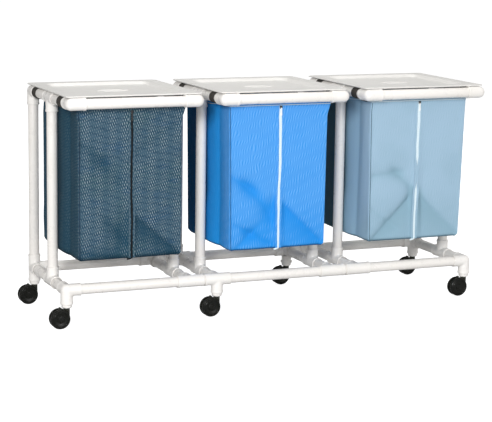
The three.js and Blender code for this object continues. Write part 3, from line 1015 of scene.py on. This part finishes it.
def rounded_rectangle(half_x, low_y, high_y, radius, arc_steps, x_steps=1, y_steps=1, stretch=1.0):
    """Points of a rectangle with round corners about x = 0, from the middle of its front right corner's arc
    start, anticlockwise from above, and each point's outward direction. The corners are `stretch` times as
    long along y as along x."""
    points, outward = [], []
    long_radius = radius * stretch
    corners = (
        (half_x - radius, low_y + long_radius, -90, y_steps),
        (half_x - radius, high_y - long_radius, 0, x_steps),
        (-half_x + radius, high_y - long_radius, 90, y_steps),
        (-half_x + radius, low_y + long_radius, 180, x_steps),
    )
    for number, (x, y, start, steps_after) in enumerate(corners):
        for share in np.linspace(0, 1, arc_steps + 1):
            angle = math.radians(start + 90 * share)
            points.append((x + radius * math.cos(angle), y + long_radius * math.sin(angle)))
            normal = np.array([stretch * math.cos(angle), math.sin(angle)])
            outward.append(normal / np.linalg.norm(normal))
        next_x, next_y, next_start, _ = corners[(number + 1) % 4]
        angle = math.radians(next_start)
        goal = (next_x + radius * math.cos(angle), next_y + long_radius * math.sin(angle))
        here = points[-1]
        for share in np.linspace(0, 1, steps_after + 1)[1:-1]:
            points.append((here[0] + share * (goal[0] - here[0]), here[1] + share * (goal[1] - here[1])))
            outward.append((math.cos(angle), math.sin(angle)))
    return np.array(points), np.array(outward)


def lid_section():
    """Section of a lid's sheet from the middle of its underside out, round the rim and in over the recess:
    (distance in from the edge, height from the rim's top)."""
    under_inset = RECESS_INSET - 3
    under_floor = -LID_RECESS - LID_FLOOR_SHEET
    under_mouth = under_inset - LID_SLOPE * (LID_RECESS + LID_FLOOR_SHEET - LID_SHEET) / LID_RECESS
    corners = [
        (under_inset + 60, under_floor, 0),
        (under_inset, under_floor, 3),
        (under_mouth, -LID_SHEET, 3),
        (0, -LID_SHEET, 1.2),
        (0, 0, 2.2),
        (LID_RIM, 0, 3),
        (RECESS_INSET, -LID_RECESS, 4),
        (RECESS_INSET + 60, -LID_RECESS, 0),
    ]
    return rounded(corners, closed=False, steps=5)


def lid_plate(shape, x):
    """The lid's sheet: a rim with rounded edges round a recess with sloping walls."""
    insets = [LID_CORNER, LID_RIM - 6, LID_RIM, RECESS_INSET]
    radii = [LID_CORNER, RECESS_CORNER, RECESS_CORNER + LID_SLOPE, RECESS_CORNER]
    loops = []
    for inset, z in lid_section():
        low_y, high_y, radius = LID_LOW.y + inset, LID_HIGH.y - inset, float(np.interp(inset, insets, radii))
        outline, _ = rounded_rectangle(LID_HALF - inset, low_y, high_y, radius, 10)
        loops.append(at_height(outline, x, 0, LID_HIGH.z + z))
    loft(shape, loops)


def lid_ribs(shape, x):
    """Three plain stiffening ribs across the middle of the recess."""
    middle_y = (LID_LOW.y + LID_HIGH.y) / 2
    floor_z = LID_HIGH.z - LID_RECESS
    for offset, length in ((-26, 92), (0, 132), (26, 92)):
        loops = []
        for grow, z in RIB_SECTION:
            half_width = RIB_HALF_WIDTH + grow
            outline, _ = rounded_rectangle(length / 2 + grow, -half_width, half_width, half_width * 0.98, 8)
            loops.append(at_height(outline, x, middle_y + offset, floor_z + z))
        loft(shape, loops)


def hinge_clips(shape, x):
    """Two C-shaped clips that snap round the rear tube, on pads under the lid."""
    radius = PIPE_R + 1.1 + CLIP_THICK / 2
    angles = np.radians(np.linspace(-24, 204, 40))
    outward = np.outer(np.cos(angles), Y) + np.outer(np.sin(angles), Z)
    for side in (-1, 1):
        clip_x = x + side * CLIP_X
        centre = np.array([clip_x, REAR_Y, TOP_Z])
        sweep(shape, centre + radius * outward, outward, CLIP_WIDTH, CLIP_THICK, edge=0.8)
        loops = []
        for grow, z in PAD_SECTION:
            half_depth = PAD_HALF_DEPTH + grow
            outline, _ = rounded_rectangle(CLIP_WIDTH / 2 + 0.3 * grow, -half_depth, half_depth, 3, 5)
            loops.append(at_height(outline, clip_x, REAR_Y, TOP_Z + z))
        loft(shape, loops)


def lid_pieces():
    for place, x in HAMPER_X.items():
        shape = Shape()
        lid_plate(shape, x)
        lid_ribs(shape, x)
        hinge_clips(shape, x)
        name = f"lid_{place}"
        make_piece(f"lid_panel_{place}", shape, name, [LID_WHITE], "lid_white", [name], sharp_angle=35)


# ------------------------------------------------------------------------- bags

# Folds of each panel: from (across, up) to (across, up), each -1 to 1 and 0 to 1, the depth, and how far
# the cloth takes to come back on the fold's upper and lower side, in millimetres.
FOLD_ROUNDING = {"front": 2.5, "rear": 8, "left": 10, "right": 14}
SIDE_FOLDS = {
    "rear": [((-0.3, 1.0), (-0.15, 0.35), 9, 40, 40), ((0.7, 0.05), (0.1, 0.3), 9, 20, 60)],
    "left": [((-0.35, 1.0), (-0.2, 0.35), 13, 30, 40), ((0.52, 1.0), (0.46, 0.04), 14, 60, 20)],
    "right": [((-0.3, 1.0), (-0.2, 0.3), 13, 30, 40), ((0.4, 1.0), (0.25, 0.3), 13, 34, 30)],
}
FOLDS = {
    "left": {
        "front": [
            ((0.08, 0.27), (0.86, 0.03), 14, 12, 80),
            ((-1.0, 0.78), (-0.52, 0.66), 8, 22, 40),
            ((-0.55, 0.62), (-0.2, 0.52), 6, 30, 46),
            ((0.2, 0.72), (1.0, 0.90), 6, 20, 34),
            ((0.5, 0.92), (1.0, 0.97), 5, 14, 18),
            ((-0.40, 0.24), (-0.04, 0.10), 9, 26, 40),
            ((-0.95, 0.05), (-0.3, 0.02), 9, 24, 26),
        ],
        **SIDE_FOLDS,
    },
    "middle": {
        "front": [
            ((0.06, 0.31), (0.90, 0.03), 13, 12, 110),
            ((-0.90, 0.49), (-0.55, 0.42), 8, 18, 30),
            ((-0.60, 0.43), (-0.06, 0.21), 10, 30, 40),
            ((-0.9, 0.00), (-0.55, 0.11), 6, 12, 26),
            ((-0.55, 0.11), (-0.1, 0.03), 8, 14, 24),
            ((-1.0, 0.20), (-0.62, 0.13), 6, 14, 22),
        ],
        **SIDE_FOLDS,
    },
    "right": {
        "front": [
            ((0.05, 0.31), (0.92, 0.03), 10, 12, 110),
            ((-0.9, 0.01), (-0.05, 0.31), 10, 12, 110),
            ((-0.86, 0.46), (-0.40, 0.475), 8, 22, 26),
            ((-0.40, 0.475), (-0.04, 0.35), 8, 18, 26),
            ((-0.85, 0.21), (-0.55, 0.13), 6, 12, 24),
        ],
        **SIDE_FOLDS,
    },
}
FULL_CREASE_SHADE = 14  # the depth of fold that gets the painted shade in full
FOLD_END = 45  # how far a fold takes to run out
ARC_STEPS = 9
FRONT_STEPS = 76
SIDE_STEPS = 78
WALL_ROWS = 104
FOOT_ROWS = 6
FLOOR_ROWS = 22


def fold_depth(across, up, half_width, fold, rounding):
    """How far a fold pulls the cloth in, at places on a panel."""
    start, end, depth, above, below = fold
    start, end = (np.array([x * half_width, z * BAG_HEIGHT]) for x, z in (start, end))
    length = np.linalg.norm(end - start)
    direction = (end - start) / length
    offset = np.stack([across * half_width, np.full(len(across), up * BAG_HEIGHT)], -1) - start
    along = offset @ direction
    aside = offset @ np.array([-direction[1], direction[0]])
    reach = np.where(aside > 0, above, below)
    past = np.maximum(np.maximum(-along, along - length), 0)
    away = np.hypot(aside, rounding) - rounding
    return depth * np.exp(-away / reach) * np.exp(-((past / FOLD_END) ** 2))


def ripples(across, up, seed):
    """Slow unevenness of hanging cloth, from a few crossing waves."""
    generator = np.random.default_rng(seed)
    total = np.zeros_like(across)
    for _ in range(9):
        turns_across, turns_up = generator.normal(0, 1.6), generator.normal(0, 2.6)
        phase, size = generator.uniform(0, 2 * math.pi), generator.uniform(0.3, 1.0)
        total += size * np.sin(math.pi * (turns_across * across + turns_up * up) + phase)
    return total / 4


def bag_rows():
    """Each row's distance in from the outline, and its height: down the wall, round the foot and inwards."""
    rows = [(0.0, z) for z in np.linspace(BAG_TOP_Z, BAG_BOTTOM_Z + BAG_FOOT_R, WALL_ROWS)]
    for angle in np.linspace(0, math.pi / 2, FOOT_ROWS + 1)[1:]:
        rows.append((BAG_FOOT_R * (1 - math.cos(angle)), BAG_BOTTOM_Z + BAG_FOOT_R * (1 - math.sin(angle))))
    insets = np.linspace(BAG_FOOT_R, BAG_HALF_DEPTH - 3, FLOOR_ROWS + 1)
    return rows + [(inset, BAG_BOTTOM_Z) for inset in insets[1:]]


def bag_outline(half, front_y, rear_y, corner):
    return rounded_rectangle(
        half, front_y, rear_y, corner, ARC_STEPS, FRONT_STEPS, SIDE_STEPS, CORNER_STRETCH
    )


class BagSurface:
    """The outside of a bag as rows of points from its mouth to the middle of its floor."""

    def __init__(self, place):
        self.place = place
        self.x = HAMPER_X[place]
        self.rows = bag_rows()
        outline, self.outward = bag_outline(BAG_TOP_HALF, BAG_FRONT_Y, BAG_REAR_Y, BAG_CORNER)
        made = [self.row(inset, z) for inset, z in self.rows]
        self.points = np.array([points for points, _ in made])
        painted_crease_shades = np.array([painted_crease_shades for _, painted_crease_shades in made])
        # Painted shade on the side panels, beginning a little behind the front corner.
        side = smooth_step(np.abs(self.outward[:, 0]), 0.4, 1.0)
        side = side * smooth_step(outline[:, 1] - BAG_FRONT_Y, *PAINTED_SIDE_SHADE[place])
        self.masks = np.stack([painted_crease_shades, np.tile(side, (len(made), 1)), self.painted_deep_shade_mask(outline)], -1)
        self.normals = self.find_normals()
        steps = np.linalg.norm(np.diff(self.points, axis=0), axis=2).mean(1)
        self.along = np.concatenate([[0], np.cumsum(steps)])
        self.round_about = distances(np.vstack([self.points[0], self.points[0, :1]]))

    def painted_deep_shade_mask(self, outline):
        """Where painted shade goes: the rear of the panels that face another hamper, and the floor and the
        bottom of the wall.
        """
        has_neighbour = np.where(self.outward[:, 0] < 0, self.place != "left", self.place != "right")
        facing = smooth_step(np.abs(self.outward[:, 0]), 0.6, 1.0) * has_neighbour
        between = facing * smooth_step(outline[:, 1] - BAG_FRONT_Y, 150, 320)
        heights = np.array([z for _, z in self.rows])
        below = 1 - smooth_step(heights - BAG_BOTTOM_Z, 0, (26 if self.place == "left" else 12))
        return np.maximum(between[None, :], 0.9 * below[:, None])

    def reach(self, up, side):
        """How far out a side hangs: it leans in quickly below the mouth, then goes down nearly plumb."""
        near_mouth, near_floor = SIDE_REACH[self.place][side]
        hanging = near_floor + (near_mouth - near_floor) * np.clip(up, 0, 1)
        return hanging + (BAG_TOP_HALF - hanging) * smooth_step(up, 0.88, 0.98)

    def row(self, inset, z):
        up = (z - BAG_BOTTOM_Z) / BAG_HEIGHT
        left, right = self.reach(up, "left"), self.reach(up, "right")
        half = (left + right) / 2 - inset
        shift = (right - left) / 2
        low_y, high_y = BAG_FRONT_Y + inset, BAG_REAR_Y - inset
        corner = min(BAG_CORNER, half * 0.5, (high_y - low_y) / (2.5 * CORNER_STRETCH))
        outline, _ = bag_outline(half, low_y, high_y, corner)
        on_wall = smooth_step(-inset, -40, 0)
        pull, painted_crease_shade = self.relief(outline, shift, up, half)
        pull = pull * on_wall
        widened = np.column_stack([self.widened(outline, shift, up), outline[:, 1]])
        points = at_height(widened - self.outward * pull[:, None], self.x, 0, z)
        points[:, 2] += self.drop(outline, up)
        return points, painted_crease_shade * on_wall

    def widened(self, outline, shift, up):
        """The sides stand further apart towards the rear, as far as the uprights let them."""
        behind = smooth_step(outline[:, 1] - BAG_FRONT_Y, 0, 170)
        flare = 1 + SIDE_FLARE * behind * (1 - smooth_step(up, 0.88, 0.98))
        return np.clip(outline[:, 0] * flare + shift, -WIDEST_HALF, WIDEST_HALF)

    def relief(self, outline, shift, up, half):
        """How far the cloth lies inside the plain outline, and what share of that is sharp folds, which sets
        the painted shade in them.
        """
        across_x = outline[:, 0] / half
        across_y = (outline[:, 1] - BAG_MIDDLE_Y) / BAG_HALF_DEPTH
        pull = np.zeros(len(outline))
        painted_crease_shade = np.zeros(len(outline))
        panels = {
            "front": (self.outward[:, 1] < -0.9, across_x, half),
            "rear": (self.outward[:, 1] > 0.9, -across_x, half),
            "right": (self.outward[:, 0] > 0.9, across_y, BAG_HALF_DEPTH),
            "left": (self.outward[:, 0] < -0.9, -across_y, BAG_HALF_DEPTH),
        }
        for number, (panel, (mask, across, panel_half)) in enumerate(panels.items()):
            inside = 1 - smooth_step(np.abs(across), 0.9, 0.985)
            hollow = 5 if panel in ("left", "right") else 2
            shape = hollow * np.cos(math.pi * across / 2) ** 2 * math.sin(math.pi * np.clip(up, 0, 1))
            shape = shape + 2.6 * ripples(across, up, 10 * PLACES.index(self.place) + number)
            folded = np.zeros(len(outline))
            for fold in FOLDS[self.place][panel]:
                folded += fold_depth(across, up, panel_half, fold, FOLD_ROUNDING[panel])
            if panel == "front":
                inside = inside * smooth_step(np.abs(outline[:, 0] + shift), 7, 34)
            pull += np.where(mask, (shape + folded) * inside, 0)
            # Painted shade in the front and rear folds, as strong as the folds are deep.
            if panel in ("front", "rear"):
                painted_crease_shade += np.where(mask, folded / FULL_CREASE_SHADE, 0)
        return pull, painted_crease_shade

    def drop(self, outline, up):
        """The mouth dips between the straps, and the floor sags and rises a little to the rear."""
        across_x = outline[:, 0] / BAG_TOP_HALF
        across_y = (outline[:, 1] - BAG_MIDDLE_Y) / BAG_HALF_DEPTH
        near_mouth = smooth_step(up, 0.75, 1.0)
        on_side = np.abs(self.outward[:, 0])
        dip = near_mouth * on_side * (-8) * np.cos(math.pi * np.clip(across_y * 1.35, -1, 1) / 2) ** 2
        low = 1 - smooth_step(up, 0, 0.12)
        sag = -4 * (1 - across_x**2) * (1 - across_y**2) + 9 * (across_y + 1) / 2
        return dip + low * sag

    def find_normals(self):
        round_about = np.roll(self.points, -1, 1) - np.roll(self.points, 1, 1)
        down = np.gradient(self.points, axis=0)
        normals = unit(np.cross(down, round_about))
        facing = np.einsum("ij,ij->i", normals[WALL_ROWS // 2, :, :2], self.outward).mean()
        return normals if facing > 0 else -normals

    def row_at(self, z):
        return int(np.argmin([abs(row_z - z) for _, row_z in self.rows[:WALL_ROWS]]))

    def lifted(self, rows, columns=slice(None), height=0.0):
        """Points a little off the cloth, and the directions out of it."""
        normals = self.normals[rows, columns]
        return self.points[rows, columns] + height * normals, normals


def bag_shell(shape, surface):
    inner, _ = surface.lifted(slice(None), height=-BAG_CLOTH)
    loops = np.concatenate([inner[::-1], surface.points])
    along = np.concatenate([surface.along[::-1], surface.along])
    masks = np.concatenate([surface.masks[::-1], surface.masks])
    loft(shape, loops, weave=(surface.round_about, along), masks=masks)


def bag_hem(shape, surface):
    """The mouth's edge, folded over and sewn down: a second layer round the top."""
    rows = slice(0, surface.row_at(HEM_Z) + 1)
    outside, _ = surface.lifted(rows, height=0.9)
    buried, _ = surface.lifted(rows, height=-0.4)
    outside[0, :, 2] += 0.5
    loops = np.concatenate([outside, buried[::-1]])
    along = np.concatenate([surface.along[rows], surface.along[rows][::-1], [0]])
    masks = np.concatenate([surface.masks[rows], surface.masks[rows][::-1]])
    loft(shape, loops, ring=True, weave=(surface.round_about, along), masks=masks)


def hem_piping(shape, surface):
    """A cord sewn in where the hem meets the bag."""
    path, normals = surface.lifted(surface.row_at(HEM_Z + 4), height=1.4)
    sweep(shape, path, normals, 3.0, 2.4, closed=True, slot=1, steps=3)


def bag_seams(shape, surface):
    """The cloth is one wrap of two lengths: an upright seam beside the front left corner and the rear right
    one, and a seam round the floor."""
    foot = WALL_ROWS + FOOT_ROWS // 2
    for toward in (-1, 1):
        facing = np.flatnonzero(surface.outward[:, 1] * toward > 0.95)
        wanted = surface.x + toward * (BAG_TOP_HALF - BAG_CORNER)
        column = facing[np.argmin(np.abs(surface.points[0, facing, 0] - wanted))]
        path, normals = surface.lifted(slice(surface.row_at(HEM_Z), foot), column, SEAM_HEIGHT)
        sweep(shape, path, normals, SEAM_WIDTH, 1.6, steps=3)
    path, normals = surface.lifted(foot, height=SEAM_HEIGHT)
    sweep(shape, path, normals, SEAM_WIDTH, 1.8, closed=True, steps=3)


def stitches(shape, path, outward):
    """Separate stitches laid along a path: short six-sided rods with tapered ends."""
    path = np.asarray(path, float)
    distance = distances(path)
    places = np.arange(STITCH_PITCH / 2, distance[-1], STITCH_PITCH)

    def sampled(values, shift=0):
        return np.stack([np.interp(places + shift, distance, column) for column in values.T], -1)

    normal = unit(sampled(outward))
    tangent = unit(sampled(path, 1) - sampled(path, -1))
    angles = np.linspace(0, 2 * math.pi, STITCH_SIDES, endpoint=False)
    circle = np.stack([np.zeros(STITCH_SIDES), np.cos(angles), np.sin(angles)], -1)
    rings = [circle * STITCH_R * swell + STITCH_LENGTH * along * X for along, swell in STITCH_FORM]
    grid = np.arange(STITCH_SIDES * len(rings)).reshape(len(rings), STITCH_SIDES)
    faces = [cells(np.hstack([grid, grid[:, :1]])), np.array([grid[0], grid[-1, ::-1]])]
    axes = np.stack([tangent, unit(np.cross(tangent, normal)), normal], 1)
    scatter(shape, np.concatenate(rings), faces, sampled(path), axes)


def hem_stitches(shape, surface):
    path, normals = surface.lifted(surface.row_at(HEM_Z + 10), height=1.1)
    stitches(shape, np.vstack([path, path[:1]]), np.vstack([normals, normals[:1]]))


def zipper_stitches(shape, surface):
    """A line of stitches on each side of the zipper."""
    z_values = np.linspace(ZIPPER_BOTTOM_Z, HEM_Z, 40)
    for side in (-1, 1):
        line = on_front(zipper_x(surface, z_values) + side * 10.5, 1.5, z_values)
        stitches(shape, line, np.tile(-Y, (len(line), 1)))


def strap(shape, stitching, side, x, y):
    """A loop of webbing round a side tube, its two ends sewn to the bag."""
    tube_x = x + side * (PLANES[1] - PLANES[0]) / 2
    centre = np.array([tube_x, y, TOP_Z])
    inward = -side * X
    radius = PIPE_R + 0.4 + STRAP_THICK / 2
    wall = abs(tube_x - x) - BAG_TOP_HALF
    angles = np.radians(np.concatenate([[172], np.linspace(160, -212, 50)[1:]]))
    loop = centre + radius * (np.outer(np.cos(angles), -inward) + np.outer(np.sin(angles), Z))
    tails = [[centre + (wall - off) * inward - down * Z for off, down in tail] for tail in STRAP_TAILS]
    path = np.vstack([tails[0], loop, tails[1]])
    outward = np.cross(unit(np.gradient(path, axis=0)), Y) * side
    sweep(shape, path, outward, STRAP_WIDTH, STRAP_THICK, weave=True)
    half = STRAP_WIDTH / 2 - 4
    face = centre + (wall - 4.8) * inward
    corners = [(-half, -32), (half, -32), (half, -24), (-half, -24), (-half, -32)]
    outline = np.array([face + across * Y + z * Z for across, z in corners])
    stitches(stitching, outline, np.tile(-inward, (len(outline), 1)))


def zipper_x(surface, z):
    """The zipper wanders a little from a straight line, except at its ends."""
    share = (z - ZIPPER_BOTTOM_Z) / (ZIPPER_TOP_Z - ZIPPER_BOTTOM_Z)
    wander = np.sin(9 * share + 2.0 * PLACES.index(surface.place)) * np.sin(math.pi * np.clip(share, 0, 1))
    lean = ZIPPER_LEAN[surface.place] * (1 - smooth_step(share, 0, 1))
    return surface.x + 1.6 * wander - lean


def on_front(x_values, proud, z_values):
    """Points that stand proud of a bag's front."""
    return np.column_stack(np.broadcast_arrays(x_values, BAG_FRONT_Y - proud, z_values))


def zipper(shape, surface):
    """Tape and teeth down the middle of the front, and the tape's end below."""
    z_values = np.linspace(ZIPPER_BOTTOM_Z, ZIPPER_TOP_Z + 4, 60)
    line = on_front(zipper_x(surface, z_values), 0.2, z_values)
    sweep(shape, line, np.tile(-Y, (len(line), 1)), TAPE_WIDTH, 0.9)
    tooth = np.array(list(itertools.product((-1, 1), repeat=3))) * TOOTH_HALF
    tooth[:, 1] *= np.where(tooth[:, 0] > 0, 0.8, 1.0)
    box_faces = np.array([[0, 1, 3, 2], [4, 6, 7, 5], [0, 4, 5, 1], [2, 3, 7, 6], [0, 2, 6, 4], [1, 5, 7, 3]])
    numbers = np.arange(int((z_values[-1] - z_values[0]) / TOOTH_PITCH))
    sides = np.where(numbers % 2, 1, -1)
    teeth_z = z_values[0] + (numbers + 0.5) * TOOTH_PITCH
    places = on_front(zipper_x(surface, teeth_z) + 0.7 * sides, 1.1, teeth_z)
    scatter(shape, tooth, [box_faces], places, [(X * side, Y, Z) for side in sides])
    start = zipper_x(surface, ZIPPER_BOTTOM_Z)
    across, down = np.array(TAPE_END).T
    tail = on_front(start + across, 0.4, BAG_BOTTOM_Z + down)
    sweep(shape, tail, np.tile(-Y, (len(tail), 1)), 7, 1.2)


def zipper_edges(shape, surface):
    """The bag's own cloth, folded back beside the zipper on both sides. The right bag's closes over the
    zipper for a stretch below the middle."""
    z_values = np.linspace(ZIPPER_BOTTOM_Z - 2, HEM_Z, 110)
    share = (z_values - z_values[0]) / (z_values[-1] - z_values[0])
    opening = np.full(len(share), 4.3) if surface.place == "left" else 4.2 + 2.2 * share
    closed = np.exp(-(((share - 0.475) / 0.10) ** 6)) if surface.place == "right" else np.zeros(len(share))
    for side in (-1, 1):
        wander = 0.5 * np.sin(share * 23 + side) + 0.3 * np.sin(share * 51 + 2 * side)
        inner = (opening + wander) * (1 - closed) + 0.1 * closed
        x_values = zipper_x(surface, z_values) + side * (inner + ZIPPER_EDGE / 2)
        path = on_front(x_values, 0.7 + 1.3 * closed, z_values)
        sweep(shape, path, np.tile(-Y, (len(path), 1)), ZIPPER_EDGE, 1.5, steps=3, weave=True)


def bag_pieces():
    for place in PLACES:
        surface = BagSurface(place)
        slot = CLOTH_SLOTS[place]
        cloth, sewing, seams, straps, strap_sewing, fastening = (Shape() for _ in range(6))
        bag_shell(cloth, surface)
        bag_hem(cloth, surface)
        zipper_edges(cloth, surface)
        node = f"bag_{place}"
        make_piece(f"hamper_{node}", cloth, "frame", [CLOTHS[place]], slot, [node], sharp_angle=60)
        bag_seams(seams, surface)
        make_piece(f"bag_seams_{place}", seams, "frame", [SEAM_THREADS_AND_SHADE[place]], slot)
        hem_stitches(sewing, surface)
        if place != "left":
            hem_piping(sewing, surface)
        zipper_stitches(sewing, surface)
        make_piece(f"bag_stitching_{place}", sewing, "frame", [SEWING_THREADS[place], PALE_TAPE], slot)
        for side, y in itertools.product((-1, 1), STRAP_Y):
            strap(straps, strap_sewing, side, surface.x, y)
        make_piece(f"bag_straps_{place}", straps, "frame", [WEBBING], "caster_black", sharp_angle=60)
        make_piece(f"strap_stitching_{place}", strap_sewing, "frame", [STRAP_THREAD], "caster_black")
        zipper(fastening, surface)
        make_piece(f"zipper_tape_{place}", fastening, "frame", [ZIPPER_TAPES[place]], slot, sharp_angle=30)


def slider(shape, x, front):
    """The part that runs on the teeth, and the bridge that its tab hangs from."""
    loops = []
    for down, half in SLIDER_WIDTHS:
        section = rounded([(-half, -1.8, 0.9), (half, -1.8, 0.9), (half, 0.6, 0.5), (-half, 0.6, 0.5)])
        loops.append(at_height(section, x, front, ZIPPER_TOP_Z + down))
    loft(shape, loops)
    bridge = np.array([[x, front - depth, ZIPPER_TOP_Z - down] for depth, down in BRIDGE_LINE])
    outward = -Y + np.linspace(0.8, -0.8, len(bridge))[:, None] * Z
    sweep(shape, bridge, outward, 2.6, 0.9)


def pull_tab(shape, x, front):
    tab = np.array([[x, front - 2.2, ZIPPER_TOP_Z - down] for down, _ in TAB_WIDTHS])
    widths = [width for _, width in TAB_WIDTHS]
    sweep(shape, tab, np.tile(-Y, (len(tab), 1)), widths, 1.4, slot=1, edge=0.5, steps=3)


def pull_pieces():
    for place, x in HAMPER_X.items():
        shape = Shape()
        slider(shape, x, BAG_FRONT_Y - 2.6)
        pull_tab(shape, x, BAG_FRONT_Y - 2.6)
        name, metals = f"zip_slider_{place}", [GUNMETAL, GUNMETAL if place == "left" else PULL_ENAMEL]
        make_piece(name, shape, f"zipper_{place}", metals, "zipper_metal", [f"zipper_pull_{place}"])


# ------------------------------------------------------------------------- stage

CAMERA_AT = (-2.7323, -6.3475, 1.6023)
CAMERA_AZIMUTH = math.radians(-23.065)
CAMERA_PITCH = math.radians(9.997)
CAMERA_ROLL = math.radians(0.857)
CAMERA_LENS = 122.7
FLOOR_HALF = 30.0


def camera():
    data = bpy.data.cameras.new("camera")
    data.lens = CAMERA_LENS
    data.sensor_width = 36
    data.clip_end = 60
    made = bpy.data.objects.new("camera", data)
    bpy.context.scene.collection.objects.link(made)
    flat = math.cos(CAMERA_PITCH)
    level = Vector((math.cos(CAMERA_AZIMUTH), math.sin(CAMERA_AZIMUTH), 0))
    forward = Vector((-level.y * flat, level.x * flat, -math.sin(CAMERA_PITCH)))
    up = level.cross(forward)
    right = math.cos(CAMERA_ROLL) * level + math.sin(CAMERA_ROLL) * up
    upright = -math.sin(CAMERA_ROLL) * level + math.cos(CAMERA_ROLL) * up
    turned = Matrix((right, upright, -forward)).transposed().to_4x4()
    made.matrix_world = Matrix.Translation(CAMERA_AT) @ turned
    bpy.context.scene.camera = made


def area_light(name, place, target_z, size, power, glossy):
    """A soft round light that points at a height on the cart's middle line."""
    data = bpy.data.lights.new(name, "AREA")
    data.shape = "DISK"
    data.size = size
    data.energy = power
    made = bpy.data.objects.new(name, data)
    bpy.context.scene.collection.objects.link(made)
    made.location = place
    made.rotation_euler = (Vector((0, 0, target_z)) - Vector(place)).to_track_quat("-Z", "Y").to_euler()
    made.visible_glossy = glossy


def world():
    """White to look at. It lights the cart from the front more than from behind, as a studio's wall does."""
    made = bpy.data.worlds.new("studio")
    bpy.context.scene.world = made
    made.use_nodes = True
    nodes = Nodes(made.node_tree)
    _, rearward, _ = nodes.split(nodes.place("Generated"))
    given = nodes.spread(rearward, -0.6, 0.6, 0.48, 0.26, "LINEAR")
    background = made.node_tree.nodes["Background"]
    nodes.fill(background, Color=(1, 1, 1, 1), Strength=nodes.seen_or_given(1.0, given))


def floor():
    """A pale floor that nearly matches the backdrop, so that only soft contact shadows show."""
    finish = Finish("studio_floor", (0.45, 0.45, 0.45), 0.9, Emission_Color=(1, 1, 1, 1))
    finish.fill(finish.shader, Emission_Strength=finish.seen_or_given(0.88, 0.05))
    finish.patch(finish.noise(0.8, 2.0), 0.4, 0.7, 0.1, (0.42, 0.42, 0.42))
    mesh = bpy.data.meshes.new("floor")
    corners = [(x * FLOOR_HALF, y * FLOOR_HALF, 0) for x, y in ((-1, -1), (1, -1), (1, 1), (-1, 1))]
    mesh.from_pydata(corners, [], [(0, 1, 2, 3)])
    mesh.materials.append(finish.material)
    made = bpy.data.objects.new("floor", mesh)
    bpy.context.scene.collection.objects.link(made)


def studio():
    floor()
    world()
    area_light("key", (-4.3, -5.9, 2.9), 0.55, 1.9, 375, True)
    area_light("fill", (0.6, -6.4, 1.7), 0.6, 2.6, 95, True)
    area_light("top", (0, 0.4, 4.2), 0.5, 3.0, 50, True)
    area_light("back", (2.5, 5.5, 3.4), 0.5, 3.0, 130, False)
    area_light("side", (5.5, 0.3, 1.8), 0.5, 3.0, 70, False)
    camera()
    settings = bpy.context.scene.view_settings
    settings.view_transform = "Standard"
    settings.look = "None"


# ------------------------------------------------------------------------- the whole

base_pieces()
top_pieces()
leg_pieces()
fork_pieces()
wheel_pieces()
lid_pieces()
bag_pieces()
pull_pieces()
studio()
